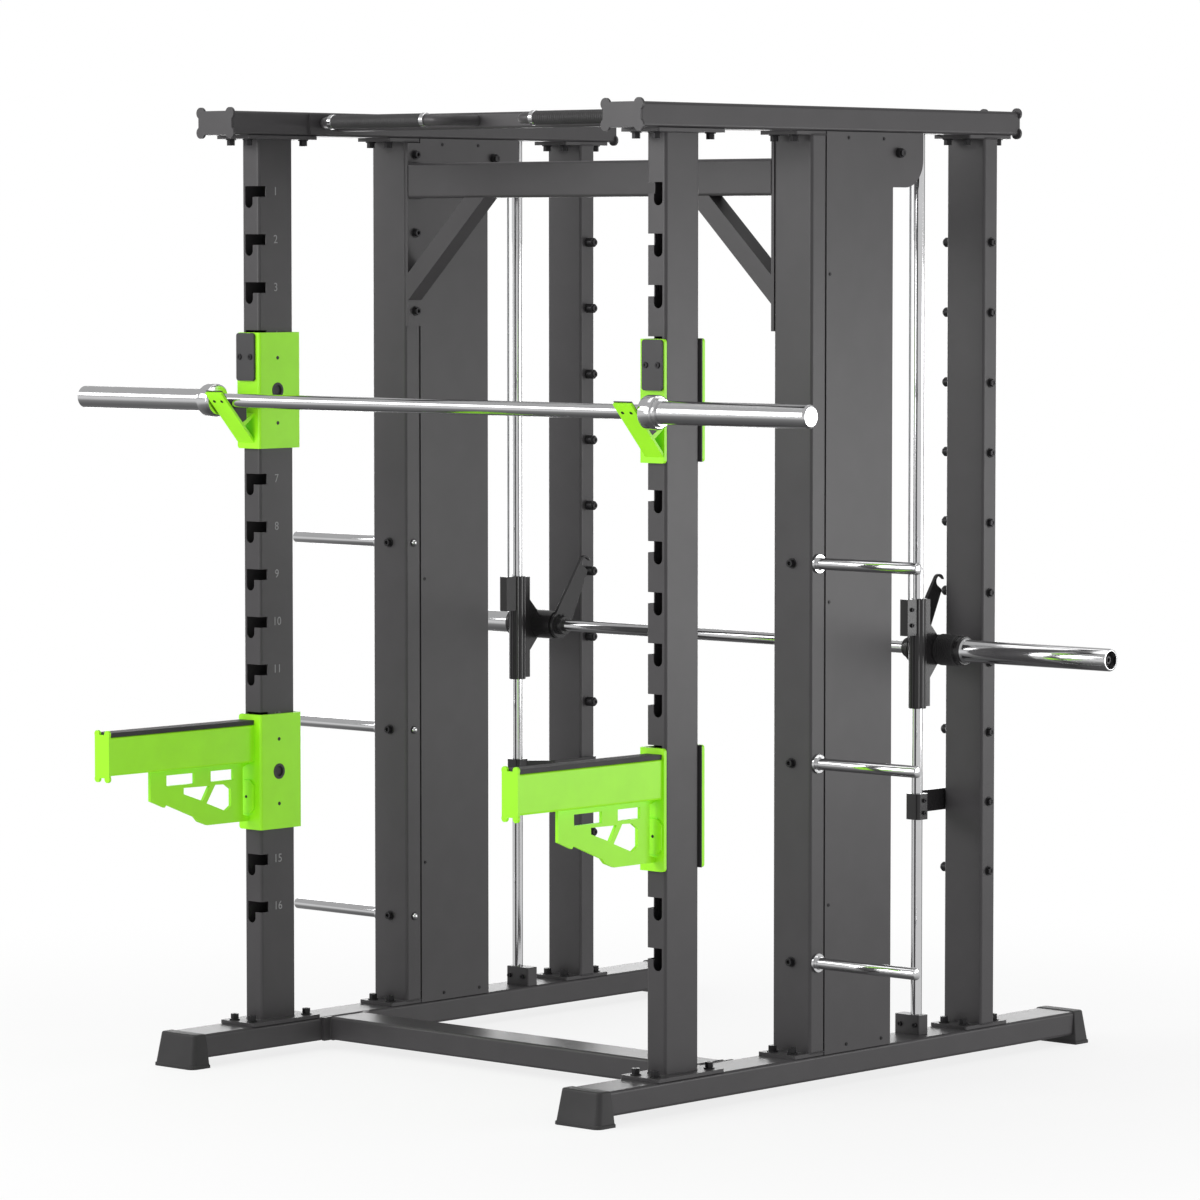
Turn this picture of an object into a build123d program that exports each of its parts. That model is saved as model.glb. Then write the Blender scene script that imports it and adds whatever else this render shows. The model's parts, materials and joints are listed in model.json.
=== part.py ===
from build123d import *
import os
from math import atan2, cos, degrees, radians, sin

os.makedirs("parts", exist_ok=True)

# Smith machine with a free barbell rack at its front. Millimetres. X runs across the machine,
# +Y to the back, Z up from the floor. Every frame member sits on one of two planes, X = +-side_x.
side_x = 615.0            # centre of each side frame
SIDES = ((-1, "left"), (1, "right"))

# Frame tube
tube_w, tube_h = 108.0, 54.0      # wide and narrow side of every frame tube
upright_d = 50.0                  # depth of the middle and rear uprights
wall = 3.0
corner_r = 7.0
floor_gap = 21.0                  # rail underside above the floor
rail_z0, rail_z1 = floor_gap, floor_gap + tube_h
rail_y0, rail_y1 = -732.0, 936.0
beam_z0, beam_z1 = 2097.0, 2097.0 + tube_h
beam_y0, beam_y1 = -599.0, 678.0
front_y0, front_y1 = -495.0, -387.0
front_mid_y = (front_y0 + front_y1) / 2
middle_y, rear_y = -23.0, 580.0
flange_t = 8.0
flange_bolt_r = 5.5               # clearance hole of a flange bolt

# J slots in the front uprights
slot_count, slot_pitch = 16, 108.6
slot_1_top = 1983.0
entry_h, entry_depth = 24.0, 23.2     # side opening: height, and depth back from the front face
leg_w, leg_depth, leg_x = 24.0, 48.9, 620.0
stud_r, stud_reach = 11.7, 22.0       # hook stud in a slot
slot_gap = 0.3

# Guide rods, carriages, bar
rod_y, rod_r = 389.0, 12.5
bar_y, bar_z, bar_r = 463.0, 940.5, 14.0
bar_len, smith_sleeve_r = 2200.0, 25.0
carriage_z0, carriage_z1 = 811.5, 1058.5
carriage_r, bush_r = 19.0, 16.0
running_gap = 0.06
cable_y, cable_r = 358.0, 2.5
hub_r, hub_x0, hub_x1 = 34.0, 552.0, 683.0

# Lock pegs on the rear uprights and the hooks that reach them
peg_pitch, peg_top_z, peg_count = 158.2, 1856.0, 10
peg_r, peg_reach = 11.0, 22.0
hook_peg = 5                          # index of the peg beside the hooks, from the top
hook_x0, hook_x1 = 541.0, 549.0
hook_clear_deg = 12.5                 # how far the stored hooks stand forward of the peg
stop_peg = 8                          # peg that carries the safety stops

# Counterweight housing and pulleys
housing_t = 2.0
housing_y1, ear_y1, ear_z0 = 230.0, 336.0, 1977.0
wheel_r, wheel_rim_r, wheel_w = 38.5, 45.0, 16.0
wheel_z = 2046.0
wheel_back_y = cable_y - wheel_r - cable_r
wheel_front_y = 183.0
weight_y = wheel_front_y - wheel_r - cable_r
weight_z0, weight_h = 1300.0, 222.0

# Barbell
barbell_y, barbell_z, barbell_r = -563.0, 1499.0, 16.0
barbell_len, sleeve_r, sleeve_x = 2200.0, 25.0, 695.0
collar_r, collar_x = 37.0, 650.0

# Hooks and spotter arms
bracket_h, bracket_drop = 263.0, 5.0      # height, and how far its top lies below the slot's top
steel_t, liner_t = 8.0, 3.0
j_slot, spotter_slot = 4, 12
arm_z0, arm_z1, strip_t = 675.0, 761.0, 10.0
arm_tip_y = -949.0
tip_plate_t = 6.0


def slot_top(n):
    return slot_1_top - slot_pitch * (n - 1)


def peg_z(n):
    return peg_top_z - peg_pitch * n


def save(part, name):
    part.label = name
    export_step(part, f"parts/{name}.step")


def tube(plane, w, h, length):
    """A rolled hollow section along a plane's normal, from its origin."""
    with BuildPart() as section:
        with BuildSketch(plane):
            RectangleRounded(w, h, corner_r)
            RectangleRounded(w - 2 * wall, h - 2 * wall, corner_r - wall + 0.5, mode=Mode.SUBTRACT)
        extrude(amount=length)
    return section.part


def box(x0, x1, y0, y1, z0, z1):
    """A plain block between two corners."""
    with BuildPart() as block:
        with BuildSketch(Plane.XY.offset(z0)):
            with Locations(((x0 + x1) / 2, (y0 + y1) / 2)):
                Rectangle(abs(x1 - x0), y1 - y0)
        extrude(amount=z1 - z0)
    return block.part


def rod(plane, r, length, inner=0.0):
    """A round bar or tube along a plane's normal, from its origin."""
    with BuildPart() as bar:
        with BuildSketch(plane):
            Circle(r)
            if inner:
                Circle(inner, mode=Mode.SUBTRACT)
        extrude(amount=length)
    return bar.part


def along_x(x, y, z, side=1):
    return Plane(origin=(x, y, z), x_dir=(0, 1, 0), z_dir=(side, 0, 0))


def along_y(x, y, z):
    return Plane(origin=(x, y, z), x_dir=(1, 0, 0), z_dir=(0, 1, 0))


def along_z(x, y, z):
    return Plane(origin=(x, y, z), x_dir=(1, 0, 0), z_dir=(0, 0, 1))


def slab(plane, points, t):
    """A flat plate cut to an outline given in the plane, t thick along its normal."""
    with BuildPart() as plate:
        with BuildSketch(plane):
            with BuildLine():
                Polyline(*points, close=True)
            make_face()
        extrude(amount=t)
    return plate.part


def yz_plane(x):
    return Plane(origin=(x, 0, 0), x_dir=(0, 1, 0), z_dir=(1, 0, 0))


# Base rails: 108 x 54 tube on its wide side, one per side frame
for side, tag in SIDES:
    with BuildPart() as base_rail:
        add(tube(along_y(side * side_x, rail_y0, (rail_z0 + rail_z1) / 2), tube_w, tube_h, rail_y1 - rail_y0))
    save(base_rail.part, f"base_rail_{tag}")

# Rubber boots over the four rail ends, flaring down to the floor
boot_len, boot_t, boot_flare = 34.0, 4.0, 17.0
with BuildPart() as rubber_feet:
    for side, tag in SIDES:
        for y, way in ((rail_y0, -1), (rail_y1, 1)):
            boot_y0, boot_y1 = sorted((y + way * boot_t, y - way * boot_len))
            foot_y0, foot_y1 = sorted((y + way * boot_flare, y - way * (boot_len + 3)))
            with BuildSketch(Plane.XY.offset(rail_z1 + boot_t)):
                with Locations((side * side_x, (boot_y0 + boot_y1) / 2)):
                    RectangleRounded(tube_w + 2 * boot_t, boot_y1 - boot_y0, 6)
            with BuildSketch(Plane.XY.offset(9)):
                with Locations((side * side_x, (foot_y0 + foot_y1) / 2)):
                    RectangleRounded(tube_w + 20, foot_y1 - foot_y0, 8)
            loft()
            with BuildSketch(Plane.XY):
                with Locations((side * side_x, (foot_y0 + foot_y1) / 2)):
                    RectangleRounded(tube_w + 24, foot_y1 - foot_y0 + 4, 10)
            extrude(amount=9)
            add(box(side * side_x - tube_w / 2, side * side_x + tube_w / 2,
                    min(y, y - way * 80), max(y, y - way * 80), rail_z0, rail_z1), mode=Mode.SUBTRACT)
save(rubber_feet.part, "rubber_feet")

# Floor crossmember between the rails, with a bolting plate at each end
cross_y, plate_half = -254.0, 75.0
rail_face = side_x - tube_w / 2
with BuildPart() as floor_crossmember:
    add(tube(along_x(-(rail_face - flange_t), cross_y, (rail_z0 + rail_z1) / 2), tube_w, tube_h,
             2 * (rail_face - flange_t)))
    for side, tag in SIDES:
        add(box(side * (rail_face - flange_t), side * rail_face, cross_y - plate_half, cross_y + plate_half,
                rail_z0, rail_z1))
save(floor_crossmember.part, "floor_crossmember")


# Uprights stand between flange plates that are welded on and bolted to the rail and the top beam
def flange(x, y, half_y, z, half_x):
    """A flange plate with four bolt holes, from z up."""
    with BuildPart() as plate:
        with BuildSketch(Plane.XY.offset(z)):
            with Locations((x, y)):
                RectangleRounded(2 * half_x, 2 * half_y, 5)
                with GridLocations(2 * bolt_dx, 2 * (half_y - bolt_in), 2, 2):
                    Circle(flange_bolt_r, mode=Mode.SUBTRACT)
        extrude(amount=flange_t)
    return plate.part


bolt_dx, bolt_in = 28.0, 21.0
front_half, back_half = 108.0, 76.0
upright_len = beam_z0 - rail_z1 - 2 * flange_t
for side, tag in SIDES:
    x = side * side_x
    with BuildPart() as front_upright:
        add(tube(along_z(x, front_mid_y, rail_z1 + flange_t), tube_h, tube_w, upright_len))
        add(flange(x, front_mid_y, front_half, rail_z1, tube_w / 2))
        add(flange(x, front_mid_y, front_half, beam_z0 - flange_t, tube_w / 2))
        for n in range(1, slot_count + 1):
            top = slot_top(n)
            inner_x, leg_out = side * (side_x - tube_h / 2 - 5), side * (leg_x + leg_w / 2)
            add(box(min(inner_x, leg_out), max(inner_x, leg_out), front_y0 - 5, front_y0 + entry_depth,
                    top - entry_h, top), mode=Mode.SUBTRACT)
            add(box(side * leg_x - leg_w / 2, side * leg_x + leg_w / 2, front_y0 - 5, front_y0 + wall + 5,
                    top - leg_depth + leg_w / 2, top), mode=Mode.SUBTRACT)
            add(rod(along_y(side * leg_x, front_y0 - 5, top - leg_depth + leg_w / 2), leg_w / 2,
                    wall + 10), mode=Mode.SUBTRACT)
    save(front_upright.part, f"front_upright_{tag}")
    for name, y in (("middle", middle_y), ("rear", rear_y)):
        with BuildPart() as upright:
            add(tube(along_z(x, y, rail_z1 + flange_t), tube_w, upright_d, upright_len))
            add(flange(x, y, back_half, rail_z1, tube_w / 2 - housing_t))
            add(flange(x, y, back_half, beam_z0 - flange_t, tube_w / 2 - housing_t))
        save(upright.part, f"{name}_upright_{tag}")

# Top beams, and a plate on each beam end that has a round lobe past each corner
lobe_r, lobe_x, lobe_z = 13.0, 47.0, 22.0
beam_mid_z = (beam_z0 + beam_z1) / 2
for side, tag in SIDES:
    with BuildPart() as top_beam:
        add(tube(along_y(side * side_x, beam_y0, beam_mid_z), tube_w, tube_h, beam_y1 - beam_y0))
        for y in (beam_y0 - tip_plate_t, beam_y1):
            with BuildSketch(along_y(side * side_x, y, beam_mid_z)):
                Rectangle(tube_w - 1, tube_h - 1)
                with GridLocations(2 * lobe_x, 2 * lobe_z, 2, 2):
                    Circle(lobe_r)
            extrude(amount=tip_plate_t)
    save(top_beam.part, f"top_beam_{tag}")

# Upper crossmember between the middle uprights: tube, end plates and two diagonal braces
upper_z0, upper_z1, upper_d = 1958.0, 2039.0, 50.0
plate_z0, plate_z1 = 1662.0, 2086.0
brace_in, brace_out, brace_foot = 309.0, 372.0, (1722.0, 1785.0)
plate_bolt_z = (1697.0, 1878.0, 2059.0)
middle_face = middle_y - upright_d / 2
with BuildPart() as upper_crossmember:
    add(tube(along_x(-(rail_face - flange_t), middle_y, (upper_z0 + upper_z1) / 2), upper_d,
             upper_z1 - upper_z0, 2 * (rail_face - flange_t)))
    for side, tag in SIDES:
        add(box(side * (rail_face - flange_t), side * rail_face, middle_face, middle_face + upright_d,
                plate_z0, plate_z1))
        foot_x = side * (rail_face - flange_t)
        add(slab(Plane(origin=(0, middle_face + 45, 0), x_dir=(1, 0, 0), z_dir=(0, -1, 0)),
                 [(side * brace_in, upper_z0 + 1), (side * brace_out, upper_z0 + 1),
                  (foot_x, brace_foot[1]), (foot_x, brace_foot[0])], 45))
save(upper_crossmember.part, "upper_crossmember")

# Pull-up station: crossbar between the top beams and two handles in front of it
station_y, station_z, station_h = -261.0, 2127.0, 36.0
handle_y, handle_r, handle_in, handle_out = -390.0, 12.5, 114.0, 470.0
elbow_r = 34.0
grip_x0, grip_x1, ring_w = 172.0, 448.0, 12.0
with BuildPart() as pull_up_frame:
    with BuildSketch(along_x(-rail_face, station_y, station_z)):
        RectangleRounded(station_h, station_h, 6)
    extrude(amount=2 * rail_face)
    for side, tag in SIDES:
        with BuildLine() as path:
            line = Polyline((side * handle_in, station_y, station_z), (side * handle_in, handle_y, station_z),
                            (side * handle_out, handle_y, station_z),
                            (side * (rail_face - 4), handle_y + 78, station_z))
            fillet(path.vertices().sort_by_distance((side * handle_in, handle_y, station_z))[0], elbow_r)
            fillet(path.vertices().sort_by_distance((side * handle_out, handle_y, station_z))[0], elbow_r)
        with BuildSketch(Plane(origin=(side * handle_in, station_y, station_z), x_dir=(1, 0, 0),
                               z_dir=(0, -1, 0))):
            Circle(handle_r)
        sweep(path=path.wires()[0])
        add(box(side * (rail_face - 7), side * rail_face, handle_y + 28, handle_y + 128, beam_z0 + 4,
                beam_z1 - 4))
        add(box(side * rail_face, side * side_x, handle_y, handle_y + 150, beam_z0, beam_z1),
            mode=Mode.SUBTRACT)
save(pull_up_frame.part, "pull_up_frame")

# Rubber grips and chrome rings on the handles
with BuildPart() as pull_up_grips:
    for side, tag in SIDES:
        add(rod(along_x(side * grip_x0, handle_y, station_z, side), handle_r + 3, grip_x1 - grip_x0,
                handle_r))
save(pull_up_grips.part, "pull_up_grips")
with BuildPart() as pull_up_rings:
    for side, tag in SIDES:
        for x in (grip_x0 - ring_w, grip_x1):
            add(rod(along_x(side * x, handle_y, station_z, side), handle_r + 4, ring_w, handle_r))
save(pull_up_rings.part, "pull_up_rings")

# Counterweight housings: folded sheet behind the middle uprights, with an ear at the top of each
# side that carries the pulley axle
housing_y0 = middle_y + upright_d / 2
ear_r = 62.0
axle_y, axle_z, axle_r = 250.0, 2053.0, 7.0
for side, tag in SIDES:
    with BuildPart() as housing:
        for x in (side_x - tube_w / 2, side_x + tube_w / 2 - housing_t):
            left = min(side * x, side * (x + housing_t))
            with BuildSketch(yz_plane(left)):
                with BuildLine():
                    Polyline((ear_y1, beam_z0), (housing_y0, beam_z0), (housing_y0, rail_z1),
                             (housing_y1, rail_z1), (housing_y1, ear_z0), (ear_y1 - ear_r, ear_z0))
                    TangentArc((ear_y1 - ear_r, ear_z0), (ear_y1, ear_z0 + ear_r), tangent=(1, 0))
                    Line((ear_y1, ear_z0 + ear_r), (ear_y1, beam_z0))
                make_face()
            extrude(amount=housing_t)
            add(rod(along_x(left - 5, axle_y, axle_z), axle_r, housing_t + 10), mode=Mode.SUBTRACT)
        add(box(side * side_x - tube_w / 2 + housing_t, side * side_x + tube_w / 2 - housing_t,
                housing_y1 - housing_t, housing_y1, rail_z1, ear_z0))
    save(housing.part, f"housing_{tag}")

# Chrome guide rods and the clamp blocks that hold their feet
block_x0, block_x1, block_half, block_h = 566.0, 636.0, 17.0, 44.0
for side, tag in SIDES:
    save(rod(along_z(side * side_x, rod_y, rail_z1), rod_r, beam_z0 - rail_z1), f"guide_rod_{tag}")
with BuildPart() as rod_blocks:
    for side, tag in SIDES:
        with BuildSketch(Plane.XY.offset(rail_z1)):
            with Locations((side * (block_x0 + block_x1) / 2, rod_y)):
                RectangleRounded(block_x1 - block_x0, 2 * block_half, 4)
            with Locations((side * side_x, rod_y)):
                Circle(rod_r, mode=Mode.SUBTRACT)
        extrude(amount=block_h)
save(rod_blocks.part, "rod_blocks")

# Lock pegs: a bush on the inner face of each rear upright, a socket screw through it and a nut
# with its washer outside
for side, tag in SIDES:
    with BuildPart() as lock_pegs:
        for n in range(peg_count):
            z = peg_z(n)
            add(rod(along_x(side * rail_face, rear_y, z, -side), peg_r, peg_reach))
            add(rod(along_x(side * (rail_face - peg_reach), rear_y, z, -side), 8, 3))
            add(rod(along_x(side * (rail_face + tube_w), rear_y, z, side), 11, 2))
            add(rod(along_x(side * (rail_face + tube_w + 2), rear_y, z, side), 8, 7))
    save(lock_pegs.part, f"lock_pegs_{tag}")

# Storage pegs for discs on the outer face of each middle upright, three a side
peg_disc_z = (1157.0, 719.0, 281.0)
disc_peg_r, disc_peg_len = 13.0, 281.0
for side, tag in SIDES:
    with BuildPart() as disc_pegs:
        for z in peg_disc_z:
            outer = side * (rail_face + tube_w)
            add(rod(along_x(outer, middle_y, z, side), 21, 5))
            add(rod(along_x(outer, middle_y, z, side), disc_peg_r, disc_peg_len))
            chamfer(edges().filter_by(GeomType.CIRCLE).group_by(Axis.X)[-1 if side > 0 else 0], 3)
    save(disc_pegs.part, f"disc_pegs_{tag}")

# Frame bolts: hex heads on every flange, end plate and storage peg, and the housings' small screws
head_r, head_h, washer_r, washer_t = 9.5, 13.0, 12.0, 2.5
housing_screws = ((14, 405), (14, 1071), (14, 1787), (77, 91), (198, 91), (77, 2084), (198, 2083))
with BuildPart() as frame_bolts:
    for side, tag in SIDES:
        x = side * side_x
        for y, half in ((front_mid_y, front_half), (middle_y, back_half), (rear_y, back_half)):
            for dx in (-bolt_dx, bolt_dx):
                for dy in (-(half - bolt_in), half - bolt_in):
                    for z, way in ((rail_z1 + flange_t, 1), (beam_z0 - flange_t, -1)):
                        plane = Plane(origin=(x + dx, y + dy, z), x_dir=(1, 0, 0), z_dir=(0, 0, way))
                        add(rod(plane, washer_r, washer_t))
                        with BuildSketch(plane.offset(washer_t)):
                            RegularPolygon(head_r, 6)
                        extrude(amount=head_h)
        for z in plate_bolt_z:
            add(rod(along_x(side * (rail_face - flange_t), middle_y, z, -side), washer_r, 2.5))
            with BuildSketch(along_x(side * (rail_face - flange_t - 2.5), middle_y, z, -side)):
                RegularPolygon(head_r, 6)
            extrude(amount=8)
        for z in peg_disc_z:
            add(rod(along_y(x, middle_face - 2.5, z), washer_r, 2.5))
            with BuildSketch(Plane(origin=(x, middle_face - 2.5, z), x_dir=(1, 0, 0), z_dir=(0, -1, 0))):
                RegularPolygon(head_r, 6)
            extrude(amount=8)
            add(rod(along_x(side * rail_face, middle_y, z, -side), 10, 8))
        for dy in (-50, 50):
            add(rod(along_x(side * (rail_face + tube_w), cross_y + dy, 48, side), 9, 6))
        for panel_x, way in ((side_x - tube_w / 2, -side), (side_x + tube_w / 2, side)):
            for y, z in housing_screws:
                add(rod(along_x(side * panel_x, y, z, way), 4, 2))
save(frame_bolts.part, "frame_bolts")

# Pulley axles through the ears, with a carrier plate that holds the two wheels' own pins
carrier_t = 4.0
with BuildPart() as pulley_axles:
    for side, tag in SIDES:
        x = side * side_x
        add(rod(along_x(x - tube_w / 2 - 8, axle_y, axle_z), axle_r, tube_w + 16))
        for end in (-1, 1):
            add(rod(along_x(x + end * tube_w / 2, axle_y, axle_z, end), 11, 9))
            plate_x = x + end * (wheel_w / 2 + 3 + carrier_t / 2)
            add(box(plate_x - carrier_t / 2, plate_x + carrier_t / 2, wheel_front_y - 16, wheel_back_y + 16,
                    wheel_z - 14, wheel_z + 22))
        for y in (wheel_front_y, wheel_back_y):
            add(rod(along_x(x - wheel_w / 2 - 3 - carrier_t, y, wheel_z), 6, wheel_w + 6 + 2 * carrier_t))
save(pulley_axles.part, "pulley_axles")

for side, tag in SIDES:
    for name, y in (("back", wheel_back_y), ("front", wheel_front_y)):
        with BuildPart() as pulley:
            with BuildSketch(Plane(origin=(side * side_x, y, wheel_z), x_dir=(1, 0, 0), z_dir=(0, 1, 0))):
                with BuildLine():
                    Polyline((-wheel_w / 2, 6 + running_gap), (wheel_w / 2, 6 + running_gap),
                             (wheel_w / 2, wheel_rim_r), (cable_r + 2, wheel_rim_r), (cable_r, wheel_r),
                             (-cable_r, wheel_r), (-cable_r - 2, wheel_rim_r), (-wheel_w / 2, wheel_rim_r),
                             close=True)
                make_face()
            revolve(axis=Axis((side * side_x, y, wheel_z), (1, 0, 0)))
        save(pulley.part, f"pulley_{name}_{tag}")

# Counterweights and the steel cables over the pulleys
for side, tag in SIDES:
    x = side * side_x
    with BuildPart() as counterweight:
        with BuildSketch(Plane.XY.offset(weight_z0)):
            with Locations((x, weight_y)):
                RectangleRounded(94, 88, 6)
        extrude(amount=weight_h)
    save(counterweight.part, f"counterweight_{tag}")
    save(rod(along_z(x, cable_y, carriage_z1), cable_r, wheel_z - carriage_z1), f"cable_back_{tag}")
    save(rod(along_z(x, weight_y, weight_z0 + weight_h), cable_r, wheel_z - weight_z0 - weight_h),
         f"cable_front_{tag}")
with BuildPart() as cable_tops:
    for side, tag in SIDES:
        x, top = side * side_x, wheel_z + wheel_r + cable_r
        with BuildLine() as path:
            ThreePointArc((x, cable_y, wheel_z),
                          (x, wheel_back_y + (wheel_r + cable_r) * cos(radians(45)),
                           wheel_z + (wheel_r + cable_r) * sin(radians(45))), (x, wheel_back_y, top))
            Line((x, wheel_back_y, top), (x, wheel_front_y, top))
            ThreePointArc((x, wheel_front_y, top),
                          (x, wheel_front_y - (wheel_r + cable_r) * cos(radians(45)),
                           wheel_z + (wheel_r + cable_r) * sin(radians(45))), (x, weight_y, wheel_z))
        with BuildSketch(along_z(x, cable_y, wheel_z)):
            Circle(cable_r)
        sweep(path=path.wires()[0])
save(cable_tops.part, "cable_tops")

# Carriages: a long sleeve on the guide rod, a cable block on its front, a web and the bar housing
web_t, web_y1 = 10.0, 457.0
block_y0, cable_block_h, cable_block_w = 340.0, 82.0, 22.0
for side, tag in SIDES:
    x = side * side_x
    with BuildPart() as carriage:
        add(rod(along_z(x, rod_y, carriage_z0), carriage_r, carriage_z1 - carriage_z0))
        add(box(x - cable_block_w / 2, x + cable_block_w / 2, block_y0, rod_y, carriage_z1 - cable_block_h,
                carriage_z1))
        add(slab(yz_plane(x - web_t / 2),
                 [(rod_y, carriage_z0 + 3), (428, carriage_z0 + 3), (428, bar_z - 62), (web_y1, bar_z - 30),
                  (web_y1, bar_z + 30), (428, bar_z + 60), (428, carriage_z1 - 3), (rod_y, carriage_z1 - 3)],
                 web_t))
        add(rod(along_x(side * hub_x0, bar_y, bar_z, side), hub_r, hub_x1 - hub_x0))
        fillet(edges().filter_by(GeomType.CIRCLE).group_by(Axis.X)[0], 2)
        add(rod(along_z(x, rod_y, carriage_z0 - 5), bush_r, carriage_z1 - carriage_z0 + 10),
            mode=Mode.SUBTRACT)
        add(rod(along_x(side * (hub_x0 - 5), bar_y, bar_z, side), bar_r + running_gap,
                hub_x1 - hub_x0 + 10), mode=Mode.SUBTRACT)
    save(carriage.part, f"carriage_{tag}")

# Linear bushes, one in each end of each carriage sleeve
bush_len = 70.0
with BuildPart() as carriage_bushes:
    for side, tag in SIDES:
        for z in (carriage_z0, carriage_z1 - bush_len):
            add(rod(along_z(side * side_x, rod_y, z), bush_r, bush_len, rod_r + running_gap))
save(carriage_bushes.part, "carriage_bushes")

# Smith bar: chrome shaft, sleeves for discs with a thrust collar, and an end screw in each sleeve
thrust_w, thrust_r = 11.0, 33.5
sleeve_x0 = hub_x1 + 0.5
shaft_half = bar_len / 2 - 16
save(rod(along_x(-shaft_half, bar_y, bar_z), bar_r, 2 * shaft_half), "smith_bar_shaft")
with BuildPart() as smith_bar_sleeves:
    for side, tag in SIDES:
        add(rod(along_x(side * sleeve_x0, bar_y, bar_z, side), thrust_r, thrust_w, bar_r))
        add(rod(along_x(side * sleeve_x0, bar_y, bar_z, side), smith_sleeve_r, bar_len / 2 - sleeve_x0,
                bar_r))
        add(rod(along_x(side * shaft_half, bar_y, bar_z, side), 20, 16), mode=Mode.SUBTRACT)
save(smith_bar_sleeves.part, "smith_bar_sleeves")
with BuildPart() as bar_end_screws:
    for side, tag in SIDES:
        add(rod(along_x(side * shaft_half, bar_y, bar_z, side), 15, 2))
        with BuildSketch(along_x(side * (shaft_half + 2), bar_y, bar_z, side)):
            RegularPolygon(9, 6)
        extrude(amount=7)
save(bar_end_screws.part, "bar_end_screws")

# Lock hooks: a plate with an eye on the bar and a hook that drops over a peg when the bar is
# rolled back. The slot is an arc about the bar, so that the hook can swing on and off.
reach = ((rear_y - bar_y) ** 2 + (peg_z(hook_peg) - bar_z) ** 2) ** 0.5
engaged_deg = degrees(atan2(peg_z(hook_peg) - bar_z, rear_y - bar_y))
stored_deg = engaged_deg + hook_clear_deg
eye_r, nose_r, slot_half = 32.0, 16.5, peg_r + 0.5


def polar(r, deg):
    return (bar_y + r * cos(radians(deg)), bar_z + r * sin(radians(deg)))


for side, tag in SIDES:
    left = min(side * hook_x0, side * hook_x1)
    centre = polar(reach, stored_deg)
    with BuildPart() as arc_slot:
        with BuildSketch(yz_plane(left - 5)):
            with Locations((bar_y, bar_z)):
                Circle(reach + slot_half)
                Circle(reach - slot_half, mode=Mode.SUBTRACT)
            with BuildLine():
                Polyline((bar_y, bar_z), polar(260, stored_deg), polar(260, stored_deg - 20), close=True)
            make_face(mode=Mode.INTERSECT)
        extrude(amount=hook_x1 - hook_x0 + 10)
    with BuildPart() as lock_hook:
        with BuildSketch(yz_plane(left)):
            with Locations((bar_y, bar_z)):
                Circle(eye_r)
            with Locations(centre):
                Circle(nose_r)
            with BuildLine():
                Polyline(polar(30, stored_deg + 90), polar(31, stored_deg - 90),
                         (centre[0] + nose_r * cos(radians(stored_deg - 90)),
                          centre[1] + nose_r * sin(radians(stored_deg - 90))),
                         (centre[0] + nose_r * cos(radians(stored_deg + 90)),
                          centre[1] + nose_r * sin(radians(stored_deg + 90))), close=True)
            make_face()
            with Locations((bar_y, bar_z)):
                Circle(bar_r, mode=Mode.SUBTRACT)
        extrude(amount=hook_x1 - hook_x0)
        add(rod(along_x(side * hook_x0, bar_y, bar_z, -side), 22, 16, bar_r))
        add(arc_slot.part, mode=Mode.SUBTRACT)
        add(rod(Plane(origin=(left - 5, *centre), x_dir=(0, 1, 0), z_dir=(1, 0, 0)), slot_half, 30),
            mode=Mode.SUBTRACT)
    save(lock_hook.part, f"lock_hook_{tag}")

# Safety stops: a clamp on each guide rod with a strap back to a peg; its end is a fork, open to
# the back, so that it can swing off the peg
stop_z, stop_h, strap_h = peg_z(stop_peg), 58.0, 49.0
strap_x0, strap_x1 = 549.0, 555.0
for side, tag in SIDES:
    x = side * side_x
    left = min(side * strap_x0, side * strap_x1)
    with BuildPart() as safety_stop:
        with BuildSketch(Plane.XY.offset(stop_z - stop_h / 2)):
            with Locations((x, rod_y)):
                RectangleRounded(40, 38, 9)
        extrude(amount=stop_h)
        with BuildSketch(Plane.XY.offset(stop_z - strap_h / 2)):
            with BuildLine():
                Polyline((side * 615, 404), (side * 597, 404), (side * strap_x0, 450),
                         (side * strap_x0, rear_y + 16), (side * strap_x1, rear_y + 16),
                         (side * strap_x1, 452.6), (side * 603, 408), (side * 615, 408), close=True)
            make_face()
        extrude(amount=strap_h)
        add(rod(along_x(side * (strap_x0 - 5), rear_y, stop_z, side), peg_r + 0.3, 16), mode=Mode.SUBTRACT)
        add(box(left - 5, left + 11, rear_y, rear_y + 30, stop_z - peg_r - 0.3, stop_z + peg_r + 0.3),
            mode=Mode.SUBTRACT)
        add(rod(along_z(x, rod_y, stop_z - 40), rod_r + running_gap, 80), mode=Mode.SUBTRACT)
    save(safety_stop.part, f"safety_stop_{tag}")

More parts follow.
